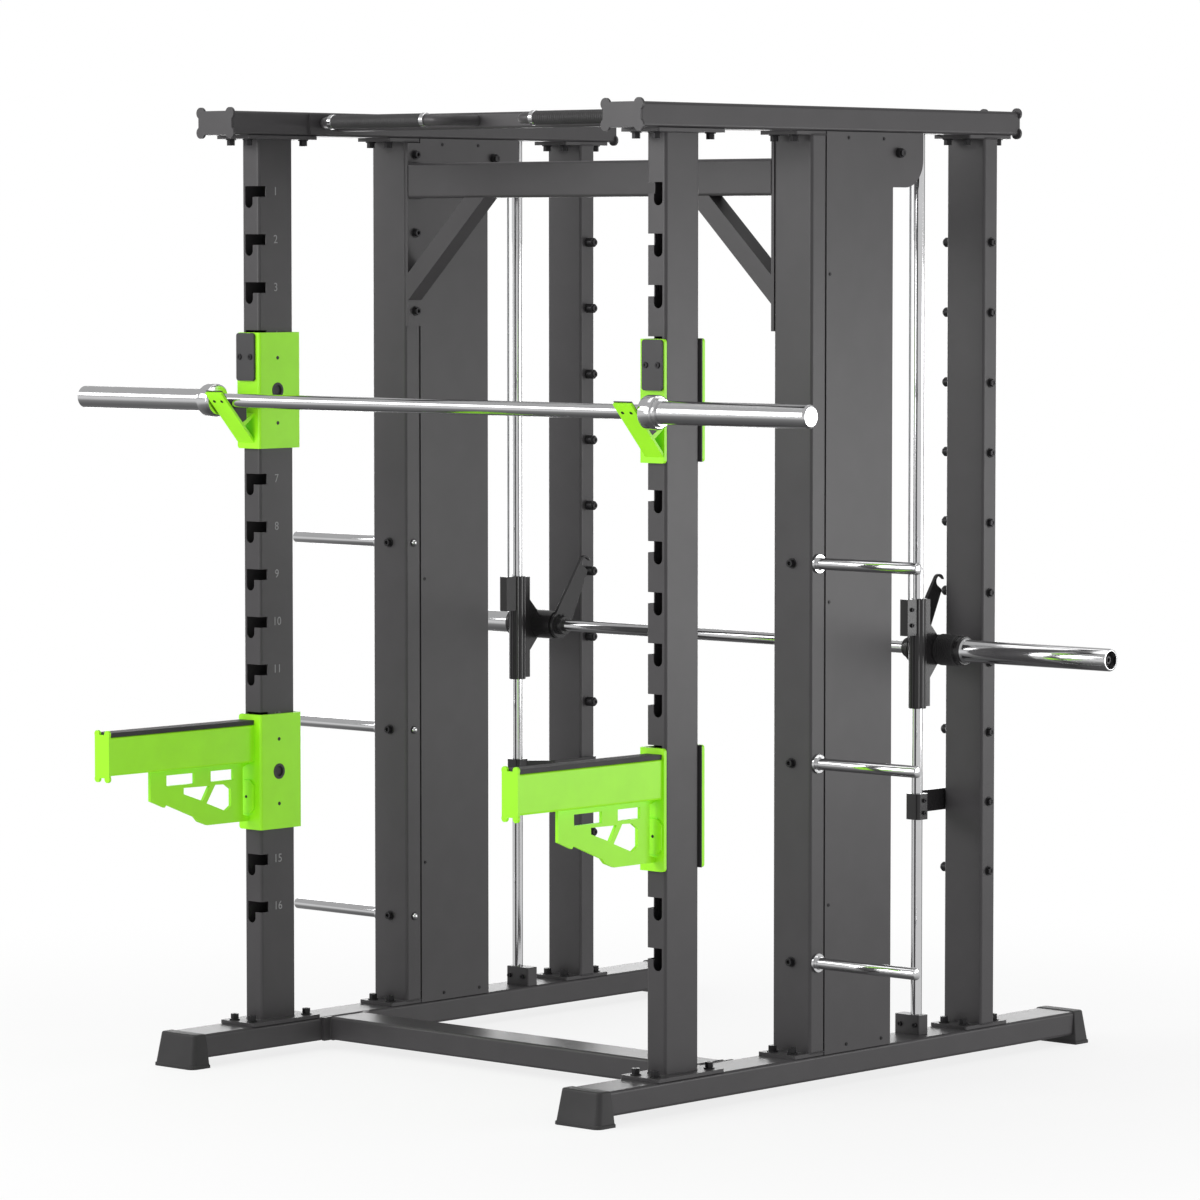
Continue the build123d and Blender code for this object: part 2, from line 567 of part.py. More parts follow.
# Barbell: chrome shaft and two turning sleeves with a stepped collar
barbell_half = barbell_len / 2
with BuildPart() as barbell_shaft:
    add(rod(along_x(-(barbell_half - 12), barbell_y, barbell_z), 14, 2 * (barbell_half - 12)))
    add(rod(along_x(-(collar_x - 0.5), barbell_y, barbell_z), barbell_r, 2 * (collar_x - 0.5)))
save(barbell_shaft.part, "barbell_shaft")
for side, tag in SIDES:
    with BuildPart() as barbell_sleeve:
        with BuildSketch(Plane(origin=(0, barbell_y, barbell_z), x_dir=(side, 0, 0), z_dir=(0, -side, 0))):
            with BuildLine():
                Polyline((collar_x, 14 + running_gap), (collar_x, collar_r - 4), (collar_x + 4, collar_r),
                         (collar_x + 32, collar_r), (collar_x + 36, collar_r - 4), (collar_x + 36, 31),
                         (sleeve_x, 31), (sleeve_x, sleeve_r), (barbell_half - 5, sleeve_r),
                         (barbell_half, sleeve_r - 5), (barbell_half, 0), (barbell_half - 11, 0),
                         (barbell_half - 11, 14 + running_gap), close=True)
            make_face()
        revolve(axis=Axis((0, barbell_y, barbell_z), (1, 0, 0)))
    save(barbell_sleeve.part, f"barbell_sleeve_{tag}")


# J hooks and spotter arms share one bracket: a steel channel round the upright, a plastic liner
# inside it and studs that stand in the upright's slots
def channel(side, z0, z1, t, gap):
    """A U section round the front upright: t thick, its inside gap away from the tube."""
    inner, outer = side_x - tube_h / 2 - gap, side_x + tube_h / 2 + 6
    with BuildPart() as u_part:
        with BuildSketch(Plane.XY.offset(z0)):
            with BuildLine():
                Polyline((side * outer, front_y0 - gap - t), (side * (inner - t), front_y0 - gap - t),
                         (side * (inner - t), front_y1 + gap + t), (side * outer, front_y1 + gap + t),
                         (side * outer, front_y1 + gap), (side * inner, front_y1 + gap),
                         (side * inner, front_y0 - gap), (side * outer, front_y0 - gap), close=True)
            make_face()
        extrude(amount=z1 - z0)
    return u_part.part


def bracket(side, slot):
    """The channel with its studs and its three side holes."""
    z1 = slot_top(slot) - bracket_drop
    z0 = z1 - bracket_h
    with BuildPart() as steel:
        add(channel(side, z0, z1, steel_t, slot_gap + liner_t))
        corner_edges = edges().filter_by(Axis.Z).group_by(Axis.X)[0 if side > 0 else -1]
        fillet(corner_edges, 6)
        fillet(edges().filter_by(Axis.Y).group_by(Axis.X)[-1 if side > 0 else 0], 7)
        for n in (slot, slot + 1):
            z = slot_top(n) - leg_depth + leg_w / 2
            add(rod(along_y(side * leg_x, front_y0 - slot_gap - liner_t - 1, z), stud_r, stud_reach + 2))
        for dz, r in ((-74, 3), (0, 14), (74, 3)):
            add(rod(along_x(side * (side_x - 60), front_mid_y - 7, (z0 + z1) / 2 + dz, side), r, 30),
                mode=Mode.SUBTRACT)
    return steel.part


def liner(side, slot):
    """The plastic channel between bracket and upright, open where the studs and holes pass."""
    z1 = slot_top(slot) - bracket_drop
    z0 = z1 - bracket_h
    with BuildPart() as plastic:
        add(channel(side, z0, z1, liner_t, slot_gap))
        for n in (slot, slot + 1):
            z = slot_top(n) - leg_depth + leg_w / 2
            add(rod(along_y(side * leg_x, front_y0 - 20, z), stud_r, 30), mode=Mode.SUBTRACT)
        add(rod(along_x(side * (side_x - 60), front_mid_y - 7, (z0 + z1) / 2, side), 14, 40),
            mode=Mode.SUBTRACT)
    return plastic.part


cup_half, cup_z0, cup_tip, cup_rise, cup_t = 26.0, 1402.0, (-610.0, 1515.4), 1.095, 6.0
cup_x = leg_x
flange_y = front_y0 - slot_gap - liner_t - steel_t
cup_inner_z0 = cup_z0 + cup_t * (1 + cup_rise ** 2) ** 0.5


def cup_y(z):
    """Where the cup plate's inner face is at a height."""
    return flange_y - (z - cup_inner_z0) / cup_rise


pad_z0, pad_z1 = 1543.0, 1651.0
for side, tag in SIDES:
    x = side * cup_x
    low = min(side * (cup_x - cup_half), side * (cup_x + cup_half))
    with BuildPart() as j_hook:
        add(bracket(side, j_slot))
        add(slab(yz_plane(low), [(flange_y, cup_z0), (flange_y, cup_inner_z0),
                                 (cup_tip[0] + 4.4, cup_tip[1] + 4), cup_tip], 2 * cup_half))
        add(slab(yz_plane(low), [(flange_y, 1462), (flange_y, 1470), (cup_y(1450), 1450),
                                 (cup_y(1442), 1442)], 2 * cup_half))
    save(j_hook.part, f"j_hook_{tag}")
    with BuildPart() as j_hook_pads:
        add(liner(side, j_slot))
        add(slab(yz_plane(low), [(cup_y(1450), 1450), (-530, 1456.8), (-530, 1480), (-541, 1492),
                                 (cup_y(1492), 1492)], 2 * cup_half))
        add(slab(yz_plane(low), [(cup_y(1455), 1455), (cup_tip[0] + 2.4, cup_tip[1] + 6.2),
                                 (cup_tip[0] + 3.5, cup_tip[1] + 7.2), (cup_y(1455) + 1.1, 1456)],
                 2 * cup_half))
        add(rod(along_x(low - 5, barbell_y, barbell_z), barbell_r + 0.3, 2 * cup_half + 10),
            mode=Mode.SUBTRACT)
        with BuildSketch(Plane(origin=(side * 617, flange_y, (pad_z0 + pad_z1) / 2), x_dir=(1, 0, 0),
                               z_dir=(0, -1, 0))):
            RectangleRounded(57, pad_z1 - pad_z0, 7)
        extrude(amount=6)
    save(j_hook_pads.part, f"j_hook_pads_{tag}")

# Spotter arms: tube with a lobed end plate, a cut-out truss below it and a strip of rubber on top
truss = [(-812, arm_z0), (-812, 607), (-769, 590), (-763, 596), (-677, 562), (-665, 550), (-637, 540),
         (flange_y, 540), (flange_y, 550), (-526, 556), (-526, 664), (flange_y, 670), (flange_y, arm_z0)]
windows = ([(-763, 638), (-763, 662), (-676, 662), (-676, 638)],
           [(-626, 638), (-626, 662), (-555, 662), (-555, 638)],
           [(-710, 630), (-630, 629), (-651, 596), (-710, 616)],
           [(-612, 630), (-581, 629), (-563, 617), (-563, 579), (-580, 568), (-639, 590)])
arm_half, truss_t = 23.0, 8.0
for side, tag in SIDES:
    x = side * cup_x
    with BuildPart() as spotter_arm:
        add(bracket(side, spotter_slot))
        mid = (arm_z0 + arm_z1) / 2
        with BuildSketch(along_y(x, arm_tip_y, mid)):
            RectangleRounded(2 * arm_half, arm_z1 - arm_z0, 5)
            RectangleRounded(2 * arm_half - 6, arm_z1 - arm_z0 - 6, 3, mode=Mode.SUBTRACT)
        extrude(amount=flange_y - arm_tip_y)
        with BuildSketch(along_y(x, arm_tip_y - tip_plate_t, mid)):
            RectangleRounded(2 * arm_half, 96, 3)
            with GridLocations(32, 100, 2, 2):
                Circle(8)
        extrude(amount=tip_plate_t)
        add(slab(yz_plane(x - truss_t / 2), truss, truss_t))
        for window in windows:
            add(slab(yz_plane(x - 10), window, 20), mode=Mode.SUBTRACT)
        add(slab(Plane(origin=(x, flange_y, 595.5), x_dir=(1, 0, 0), z_dir=(0, -1, 0)),
                 [(-24, 26), (-12, 38), (12, 38), (24, 26), (24, -26), (12, -38), (-12, -38), (-24, -26)], 5))
    save(spotter_arm.part, f"spotter_arm_{tag}")
    with BuildPart() as spotter_pads:
        add(liner(side, spotter_slot))
        with BuildSketch(Plane.XY.offset(arm_z1)):
            with Locations((x, (arm_tip_y + flange_y) / 2)):
                RectangleRounded(2 * arm_half - 2, flange_y - arm_tip_y, 2)
        extrude(amount=strip_t)
    save(spotter_pads.part, f"spotter_pads_{tag}")
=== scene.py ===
import bpy
import bmesh
import json
from math import cos, pi, radians, sin
from mathutils import Matrix, Vector

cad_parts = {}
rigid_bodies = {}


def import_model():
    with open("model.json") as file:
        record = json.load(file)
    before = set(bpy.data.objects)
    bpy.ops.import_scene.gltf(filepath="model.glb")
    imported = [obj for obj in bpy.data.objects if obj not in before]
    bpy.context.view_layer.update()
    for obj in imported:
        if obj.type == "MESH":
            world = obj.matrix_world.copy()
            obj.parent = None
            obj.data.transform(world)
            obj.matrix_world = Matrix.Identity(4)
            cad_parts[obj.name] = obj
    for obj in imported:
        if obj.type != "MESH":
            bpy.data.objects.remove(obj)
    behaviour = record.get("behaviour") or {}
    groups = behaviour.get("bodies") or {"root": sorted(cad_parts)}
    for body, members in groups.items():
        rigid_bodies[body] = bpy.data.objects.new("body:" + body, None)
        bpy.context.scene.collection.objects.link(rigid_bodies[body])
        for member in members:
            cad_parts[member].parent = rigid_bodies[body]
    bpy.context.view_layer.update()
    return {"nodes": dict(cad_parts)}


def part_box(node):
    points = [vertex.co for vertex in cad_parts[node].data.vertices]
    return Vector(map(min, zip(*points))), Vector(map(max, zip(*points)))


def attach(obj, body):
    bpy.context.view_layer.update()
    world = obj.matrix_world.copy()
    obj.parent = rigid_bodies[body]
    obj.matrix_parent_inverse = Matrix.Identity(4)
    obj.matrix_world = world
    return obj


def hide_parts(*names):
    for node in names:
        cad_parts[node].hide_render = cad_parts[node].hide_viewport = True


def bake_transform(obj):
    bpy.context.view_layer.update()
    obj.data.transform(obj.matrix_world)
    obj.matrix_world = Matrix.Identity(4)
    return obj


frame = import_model()


# Camera
# Stands off the machine's front right corner at head height, far back on a long lens, so that the
# uprights stay nearly parallel.
camera_data = bpy.data.cameras.new("camera")
camera_data.lens, camera_data.clip_end = 162.8, 200
camera = bpy.data.objects.new("camera", camera_data)
camera.location = (8.2507, -9.0903, 1.8538)
camera.rotation_euler = (radians(86.24), 0, radians(42.21))
bpy.context.scene.collection.objects.link(camera)
bpy.context.scene.camera = camera

# Studio
# The machine stands on pale paper, under large soft boxes. Past a few metres the paper is evenly
# bright, and so is the room wherever it is looked at straight; in reflections the room is graded.


def added(nodes, *kinds):
    """New nodes of these kinds, in this order."""
    return [nodes.new(kind) for kind in kinds]


paper_half, near_paper, far_paper, near_glow = 14.0, 1.2, 3.0, 0.8
paper_corners = ((-1, -1), (1, -1), (1, 1), (-1, 1))
paper_mesh = bpy.data.meshes.new("studio_paper")
paper_mesh.from_pydata([(x * paper_half, y * paper_half, 0) for x, y in paper_corners], [],
                       [(0, 1, 2, 3)])
paper_floor = bpy.data.objects.new("studio_paper", paper_mesh)
bpy.context.scene.collection.objects.link(paper_floor)
paper = bpy.data.materials.new("pale paper")
paper.use_nodes = True
nodes, links = paper.node_tree.nodes, paper.node_tree.links
paper_shader = nodes["Principled BSDF"]
paper_shader.inputs["Base Color"].default_value = (0.9, 0.9, 0.9, 1)
paper_shader.inputs["Roughness"].default_value = 0.85
place, away, evenly, glow, laid = added(nodes, "ShaderNodeTexCoord", "ShaderNodeVectorMath",
                                        "ShaderNodeMapRange", "ShaderNodeEmission", "ShaderNodeMixShader")
away.operation, evenly.interpolation_type = "LENGTH", "SMOOTHSTEP"
evenly.inputs["From Min"].default_value, evenly.inputs["From Max"].default_value = near_paper, far_paper
evenly.inputs["To Min"].default_value = near_glow
links.new(place.outputs["Object"], away.inputs[0])
links.new(away.outputs["Value"], evenly.inputs["Value"])
links.new(evenly.outputs[0], laid.inputs[0])
links.new(paper_shader.outputs[0], laid.inputs[1])
links.new(glow.outputs[0], laid.inputs[2])
links.new(laid.outputs[0], nodes["Material Output"].inputs["Surface"])
paper_mesh.materials.append(paper)
paper_floor.visible_glossy = False

floor_tone, ceiling_tone = (0.1, (0.16, 0.16, 0.163, 1)), (0.9, (0.9, 0.9, 0.9, 1))
room_tones = ((0.3, 0.46), (0.42, 1.3), (0.52, 1.35), (0.6, 0.85))
world = bpy.data.worlds.new("studio room")
bpy.context.scene.world = world
world.use_nodes = True
nodes, links = world.node_tree.nodes, world.node_tree.links
direction, height, turned_up, tone = added(nodes, "ShaderNodeTexCoord", "ShaderNodeSeparateXYZ",
                                           "ShaderNodeMapRange", "ShaderNodeValToRGB")
turned_up.inputs["From Min"].default_value = -1
links.new(direction.outputs["Generated"], height.inputs[0])
links.new(height.outputs["Z"], turned_up.inputs["Value"])
links.new(turned_up.outputs[0], tone.inputs[0])
links.new(tone.outputs[0], nodes["Background"].inputs["Color"])
for end, (position, color) in zip(tone.color_ramp.elements, (floor_tone, ceiling_tone)):
    end.position, end.color = position, color
for position, grey in room_tones:
    tone.color_ramp.elements.new(position).color = (grey, grey, grey, 1)
nodes["Background"].inputs["Strength"].default_value = 0.5
straight, white_room, either = added(nodes, "ShaderNodeLightPath", "ShaderNodeBackground",
                                     "ShaderNodeMixShader")
white_room.inputs["Color"].default_value = (1, 1, 1, 1)
links.new(straight.outputs["Is Camera Ray"], either.inputs[0])
links.new(nodes["Background"].outputs[0], either.inputs[1])
links.new(white_room.outputs[0], either.inputs[2])
links.new(either.outputs[0], nodes["World Output"].inputs["Surface"])


def soft_box(name, place, look_at, width, height, power):
    """A rectangular lamp at a place, turned to look at a point; its power is in watts."""
    light = bpy.data.lights.new(name, "AREA")
    light.shape, light.size, light.size_y, light.energy = "RECTANGLE", width, height, power
    lamp = bpy.data.objects.new(name, light)
    lamp.location = place
    lamp.rotation_euler = (Vector(look_at) - Vector(place)).to_track_quat("-Z", "Y").to_euler()
    lamp.visible_camera = False
    bpy.context.scene.collection.objects.link(lamp)


soft_box("key box", (-2.6, -4.3, 3.3), (0, 0, 1.1), 5.0, 1.6, 72)
soft_box("front box", (-1.0, -4.2, 2.3), (0, 0, 1.0), 1.6, 2.2, 48)
soft_box("side box", (4.2, 2.9, 1.05), (0.6, 0, 1.05), 2.6, 1.4, 50)
soft_box("back box", (-4.0, 4.5, 0.95), (0, 0, 0.6), 7.0, 1.8, 150)
soft_box("top box", (0, 0, 6.0), (0, 0, 0), 5.0, 5.0, 80)
bpy.context.scene.view_settings.view_transform = "Standard"


# Frame steel
# Every frame member is mild steel tube or plate, sawn, welded and powder coated in satin charcoal.
# The coat has a fine orange-peel skin and rounds off each sawn edge.
def finish(name, color, rough, metallic=0.0, grain=900.0, grain_depth=0.00004, tint=0.05, scuff=0.05,
           stretch=(1, 1, 1)):
    """A surface whose colour, gloss and relief all vary a little; grain is in features per metre."""
    cloud_scale, cloud_detail, grain_detail, cloud_low, cloud_high = 14, 5, 3, 0.35, 0.68
    material = bpy.data.materials.new(name)
    material.use_nodes = True
    nodes, links = material.node_tree.nodes, material.node_tree.links
    shader = nodes["Principled BSDF"]
    shader.inputs["Metallic"].default_value = metallic
    place, spread, cloud, peel = added(nodes, "ShaderNodeTexCoord", "ShaderNodeMapping",
                                       "ShaderNodeTexNoise", "ShaderNodeTexNoise")
    spread.inputs["Scale"].default_value = stretch
    links.new(place.outputs["Object"], spread.inputs["Vector"])
    cloud.inputs["Scale"].default_value, cloud.inputs["Detail"].default_value = cloud_scale, cloud_detail
    peel.inputs["Scale"].default_value, peel.inputs["Detail"].default_value = grain, grain_detail
    links.new(place.outputs["Object"], cloud.inputs["Vector"])
    links.new(spread.outputs["Vector"], peel.inputs["Vector"])
    shade = nodes.new("ShaderNodeValToRGB")
    darker, lighter = shade.color_ramp.elements
    darker.position, lighter.position = cloud_low, cloud_high
    darker.color = [c * (1 - tint) for c in color] + [1]
    lighter.color = [min(1, c * (1 + tint)) for c in color] + [1]
    links.new(cloud.outputs[0], shade.inputs[0])
    links.new(shade.outputs[0], shader.inputs["Base Color"])
    gloss = nodes.new("ShaderNodeMapRange")
    gloss.inputs["To Min"].default_value, gloss.inputs["To Max"].default_value = rough - scuff, rough + scuff
    links.new(peel.outputs[0], gloss.inputs["Value"])
    links.new(gloss.outputs[0], shader.inputs["Roughness"])
    relief = nodes.new("ShaderNodeBump")
    relief.inputs["Strength"].default_value, relief.inputs["Distance"].default_value = 1.0, grain_depth
    links.new(peel.outputs[0], relief.inputs["Height"])
    links.new(relief.outputs[0], shader.inputs["Normal"])
    return material


everything = bpy.context.scene.collection.objects
same_point, same_plane, rounded_above = 1e-6, radians(1), radians(40)


def softened(node, body, material, edge=0.0012, segments=2):
    """The shape of a CAD node with its sharp edges rounded, riding in that node's place."""
    mesh = frame["nodes"][node].data.copy()
    work = bmesh.new()
    work.from_mesh(mesh)
    bmesh.ops.remove_doubles(work, verts=work.verts, dist=same_point)
    bmesh.ops.dissolve_limit(work, angle_limit=same_plane, verts=work.verts, edges=work.edges)
    work.to_mesh(mesh)
    work.free()
    mesh.materials.clear()
    mesh.materials.append(material)
    mesh.shade_smooth()
    piece = bpy.data.objects.new(node + "_made", mesh)
    everything.link(piece)
    rounding = piece.modifiers.new("rounding", "BEVEL")
    rounding.width, rounding.segments = edge, segments
    rounding.limit_method, rounding.angle_limit = "ANGLE", rounded_above
    flat_faces = piece.modifiers.new("flat_faces", "WEIGHTED_NORMAL")
    flat_faces.weight, flat_faces.keep_sharp = 100, True
    piece.data = bpy.data.meshes.new_from_object(
        piece.evaluated_get(bpy.context.evaluated_depsgraph_get()))
    piece.modifiers.clear()
    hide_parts(node)
    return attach(piece, body)


SIDES = ((-1, "left"), (1, "right"))
charcoal = finish("charcoal powder coat", (0.05, 0.0475, 0.05), 0.4)
frame_members = ["floor_crossmember", "upper_crossmember", "rod_blocks"]
for _, tag in SIDES:
    frame_members += [f"{name}_{tag}" for name in
                      ("base_rail", "front_upright", "middle_upright", "rear_upright", "top_beam", "housing")]
for member in frame_members:
    softened(member, "frame", charcoal)

# Weld beads
# Each upright is welded to its flange plates all round, and each cross tube to its end plates.
# The bead is laid in short overlapping ripples and coated with the rest.
flange_t = 0.008


def socket(tree, kind, name, way, value=None):
    """One input or output of a geometry tree."""
    entry = tree.interface.new_socket(name=name, in_out=way, socket_type="NodeSocket" + kind)
    if value is not None:
        entry.default_value = value
    return entry


def new_tree(name, *sizes):
    """A geometry tree with one mesh in, one mesh out, a material and the named sizes."""
    tree = bpy.data.node_groups.new(name, "GeometryNodeTree")
    socket(tree, "Geometry", "Places", "INPUT")
    for size, value in sizes:
        socket(tree, "Float", size, "INPUT", value)
    socket(tree, "Material", "Material", "INPUT")
    socket(tree, "Geometry", "Made", "OUTPUT")
    return tree, tree.nodes.new("NodeGroupInput"), tree.nodes.new("NodeGroupOutput")


def finish_tree(tree, made, given, out):
    """Realises what the tree makes and gives it its material."""
    real, paint = added(tree.nodes, "GeometryNodeRealizeInstances", "GeometryNodeSetMaterial")
    tree.links.new(made, real.inputs["Geometry"])
    tree.links.new(real.outputs["Geometry"], paint.inputs["Geometry"])
    tree.links.new(given.outputs["Material"], paint.inputs["Material"])
    tree.links.new(paint.outputs["Geometry"], out.inputs["Made"])


def grown(name, mesh, tree, body, material, slot, angle=35, **sizes):
    """Runs a tree on a mesh and keeps the result as a plain mesh that rides on a body."""
    piece = bpy.data.objects.new(name, mesh)
    everything.link(piece)
    growth = piece.modifiers.new("growth", "NODES")
    growth.node_group = tree
    values = {key.replace("_", " ").capitalize(): value for key, value in sizes.items()}
    values["Material"] = material
    for entry in tree.interface.items_tree:
        if entry.in_out == "INPUT" and entry.name in values:
            growth[entry.identifier] = values[entry.name]
    piece.data = bpy.data.meshes.new_from_object(
        piece.evaluated_get(bpy.context.evaluated_depsgraph_get()))
    piece.modifiers.clear()
    piece.data.shade_smooth()
    piece.data.set_sharp_from_angle(angle=radians(angle))
    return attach(piece, body)


weld_tree, given, out = new_tree("weld bead", ("Bead radius", 0.0022), ("Ripple pitch", 0.0028))
line, walk, ripple, lay = added(weld_tree.nodes, "GeometryNodeMeshToCurve", "GeometryNodeResampleCurve",
                                "GeometryNodeMeshIcoSphere", "GeometryNodeInstanceOnPoints")
walk.mode = "LENGTH"
ripple.inputs["Subdivisions"].default_value = 1
weld_tree.links.new(given.outputs["Places"], line.inputs["Mesh"])
weld_tree.links.new(line.outputs["Curve"], walk.inputs["Curve"])
weld_tree.links.new(given.outputs["Ripple pitch"], walk.inputs["Length"])
weld_tree.links.new(given.outputs["Bead radius"], ripple.inputs["Radius"])
weld_tree.links.new(walk.outputs["Curve"], lay.inputs["Points"])
weld_tree.links.new(ripple.outputs["Mesh"], lay.inputs["Instance"])
finish_tree(weld_tree, lay.outputs["Instances"], given, out)


def seam_loop(low, high, flat, level, round_off=0.007):
    """A loop round a tube, low to high across two axes, at a level along the third axis, flat."""
    points = []
    for a, b, start in ((1, 1, 0), (-1, 1, 90), (-1, -1, 180), (1, -1, 270)):
        centre = [(high[i] if s > 0 else low[i]) - s * round_off for i, s in ((0, a), (1, b))]
        for turn in range(start, start + 91, 30):
            point = [centre[0] + round_off * cos(radians(turn)), centre[1] + round_off * sin(radians(turn))]
            point.insert(flat, level)
            points.append(tuple(point))
    return points


def loops_mesh(name, loops):
    """A mesh of closed loops of edges."""
    points, edges = [], []
    for loop in loops:
        start = len(points)
        points += loop
        edges += [(start + i, start + (i + 1) % len(loop)) for i in range(len(loop))]
    mesh = bpy.data.meshes.new(name)
    mesh.from_pydata(points, edges, [])
    return mesh


tube_wide, tube_thin, upright_deep = 0.108, 0.054, 0.050
cross_tube_low, cross_tube_high = 1.958, 2.039
welds = []
for side, tag in SIDES:
    for name, half_x, half_y in (("front", tube_thin / 2, tube_wide / 2),
                                 ("middle", tube_wide / 2, upright_deep / 2),
                                 ("rear", tube_wide / 2, upright_deep / 2)):
        low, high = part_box(f"{name}_upright_{tag}")
        x, y = (low.x + high.x) / 2, (low.y + high.y) / 2
        for level in (low.z + flange_t, high.z - flange_t):
            welds.append(seam_loop((x - half_x, y - half_y), (x + half_x, y + half_y), 2, level))
    low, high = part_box("upper_crossmember")
    plate_x = side * (high.x - flange_t)
    welds.append(seam_loop((low.y, cross_tube_low), (high.y, cross_tube_high), 0, plate_x))
    low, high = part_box("floor_crossmember")
    cross_y = (low.y + high.y) / 2
    welds.append(seam_loop((cross_y - tube_wide / 2, low.z), (cross_y + tube_wide / 2, high.z), 0, plate_x))
grown("weld_beads", loops_mesh("weld lines", welds), weld_tree, "frame", charcoal, "charcoal_steel", angle=80)

# Bolts
# Black-oxide hex bolts with washers clamp each flange; socket screws hold the plates and pegs.
# All are rolled and turned stock parts under a thin, slightly glossy film of black oxide.
black_oxide = finish("black oxide steel", (0.028, 0.027, 0.029), 0.36, metallic=0.55, grain=1600, tint=0.1)
bolt_tree, given, out = new_tree("bolt", ("Sides", 6.0), ("Head radius", 0.0095), ("Head height", 0.012),
                                 ("Washer radius", 0.012), ("Washer height", 0.0025),
                                 ("Socket radius", 0.004), ("Socket depth", 0.001))
count = bolt_tree.nodes.new("FunctionNodeFloatToInt")
head, washer, key = added(bolt_tree.nodes, *["GeometryNodeMeshCylinder"] * 3)
hex_sides, washer_sides = 6, 32
key.inputs["Vertices"].default_value, washer.inputs["Vertices"].default_value = hex_sides, washer_sides
bolt_tree.links.new(given.outputs["Sides"], count.inputs[0])
bolt_tree.links.new(count.outputs[0], head.inputs["Vertices"])
bolt_tree.links.new(given.outputs["Head radius"], head.inputs["Radius"])
bolt_tree.links.new(given.outputs["Head height"], head.inputs["Depth"])
bolt_tree.links.new(given.outputs["Washer radius"], washer.inputs["Radius"])
bolt_tree.links.new(given.outputs["Washer height"], washer.inputs["Depth"])
bolt_tree.links.new(given.outputs["Socket radius"], key.inputs["Radius"])


def sum_of(tree, *terms):
    """The sum of outputs, each with its factor."""
    total = None
    for output, factor in terms:
        step = tree.nodes.new("ShaderNodeMath")
        step.operation = "MULTIPLY_ADD"
        tree.links.new(output, step.inputs[0])
        step.inputs[1].default_value, step.inputs[2].default_value = factor, 0
        if total:
            tree.links.new(total, step.inputs[2])
        total = step.outputs[0]
    return total


def raised(tree, mesh, height):
    """The mesh moved up by a computed height."""
    move, aim = added(tree.nodes, "GeometryNodeTransform", "ShaderNodeCombineXYZ")
    tree.links.new(height, aim.inputs["Z"])
    tree.links.new(mesh, move.inputs["Geometry"])
    tree.links.new(aim.outputs[0], move.inputs["Translation"])
    return move.outputs["Geometry"]


bolt_tree.links.new(sum_of(bolt_tree, (given.outputs["Socket depth"], 2)), key.inputs["Depth"])
top_of_head = sum_of(bolt_tree, (given.outputs["Washer height"], 1), (given.outputs["Head height"], 1))
head_mid = sum_of(bolt_tree, (given.outputs["Washer height"], 1), (given.outputs["Head height"], 0.5))
cut, whole = added(bolt_tree.nodes, "GeometryNodeMeshBoolean", "GeometryNodeJoinGeometry")
cut.operation = "DIFFERENCE"
bolt_tree.links.new(raised(bolt_tree, head.outputs["Mesh"], head_mid), cut.inputs["Mesh 1"])
bolt_tree.links.new(raised(bolt_tree, key.outputs["Mesh"], top_of_head), cut.inputs["Mesh 2"])
bolt_tree.links.new(cut.outputs["Mesh"], whole.inputs[0])
bolt_tree.links.new(raised(bolt_tree, washer.outputs["Mesh"],
                           sum_of(bolt_tree, (given.outputs["Washer height"], 0.5))), whole.inputs[0])
facing, turn, set_in = added(bolt_tree.nodes, "GeometryNodeInputNamedAttribute",
                             "FunctionNodeAlignRotationToVector", "GeometryNodeInstanceOnPoints")
facing.data_type, turn.axis = "FLOAT_VECTOR", "Z"
facing.inputs["Name"].default_value = "facing"
bolt_tree.links.new(facing.outputs[0], turn.inputs["Vector"])
bolt_tree.links.new(turn.outputs["Rotation"], set_in.inputs["Rotation"])
bolt_tree.links.new(given.outputs["Places"], set_in.inputs["Points"])
bolt_tree.links.new(whole.outputs[0], set_in.inputs["Instance"])
finish_tree(bolt_tree, set_in.outputs["Instances"], given, out)


def bolts(name, places, body, sides=6, head=(0.0095, 0.012), washer=(0.012, 0.0025), hole=(0.004, 0.001)):
    """Black-oxide bolts at (point, direction) places; head, washer and socket hole as (radius, height)."""
    mesh = bpy.data.meshes.new(name)
    mesh.from_pydata([point for point, direction in places], [], [])
    aim = mesh.attributes.new("facing", "FLOAT_VECTOR", "POINT")
    aim.data.foreach_set("vector", [c for point, direction in places for c in direction])
    piece = grown(name, mesh, bolt_tree, body, black_oxide, "black_oxide_steel", sides=float(sides),
                  head_radius=head[0], head_height=head[1], washer_radius=washer[0],
                  washer_height=washer[1], socket_radius=hole[0], socket_depth=hole[1])
    rounding = piece.modifiers.new("rounding", "BEVEL")
    rounding.width, rounding.segments = 0.0005, 2
    rounding.limit_method, rounding.angle_limit = "ANGLE", radians(45)
    return piece


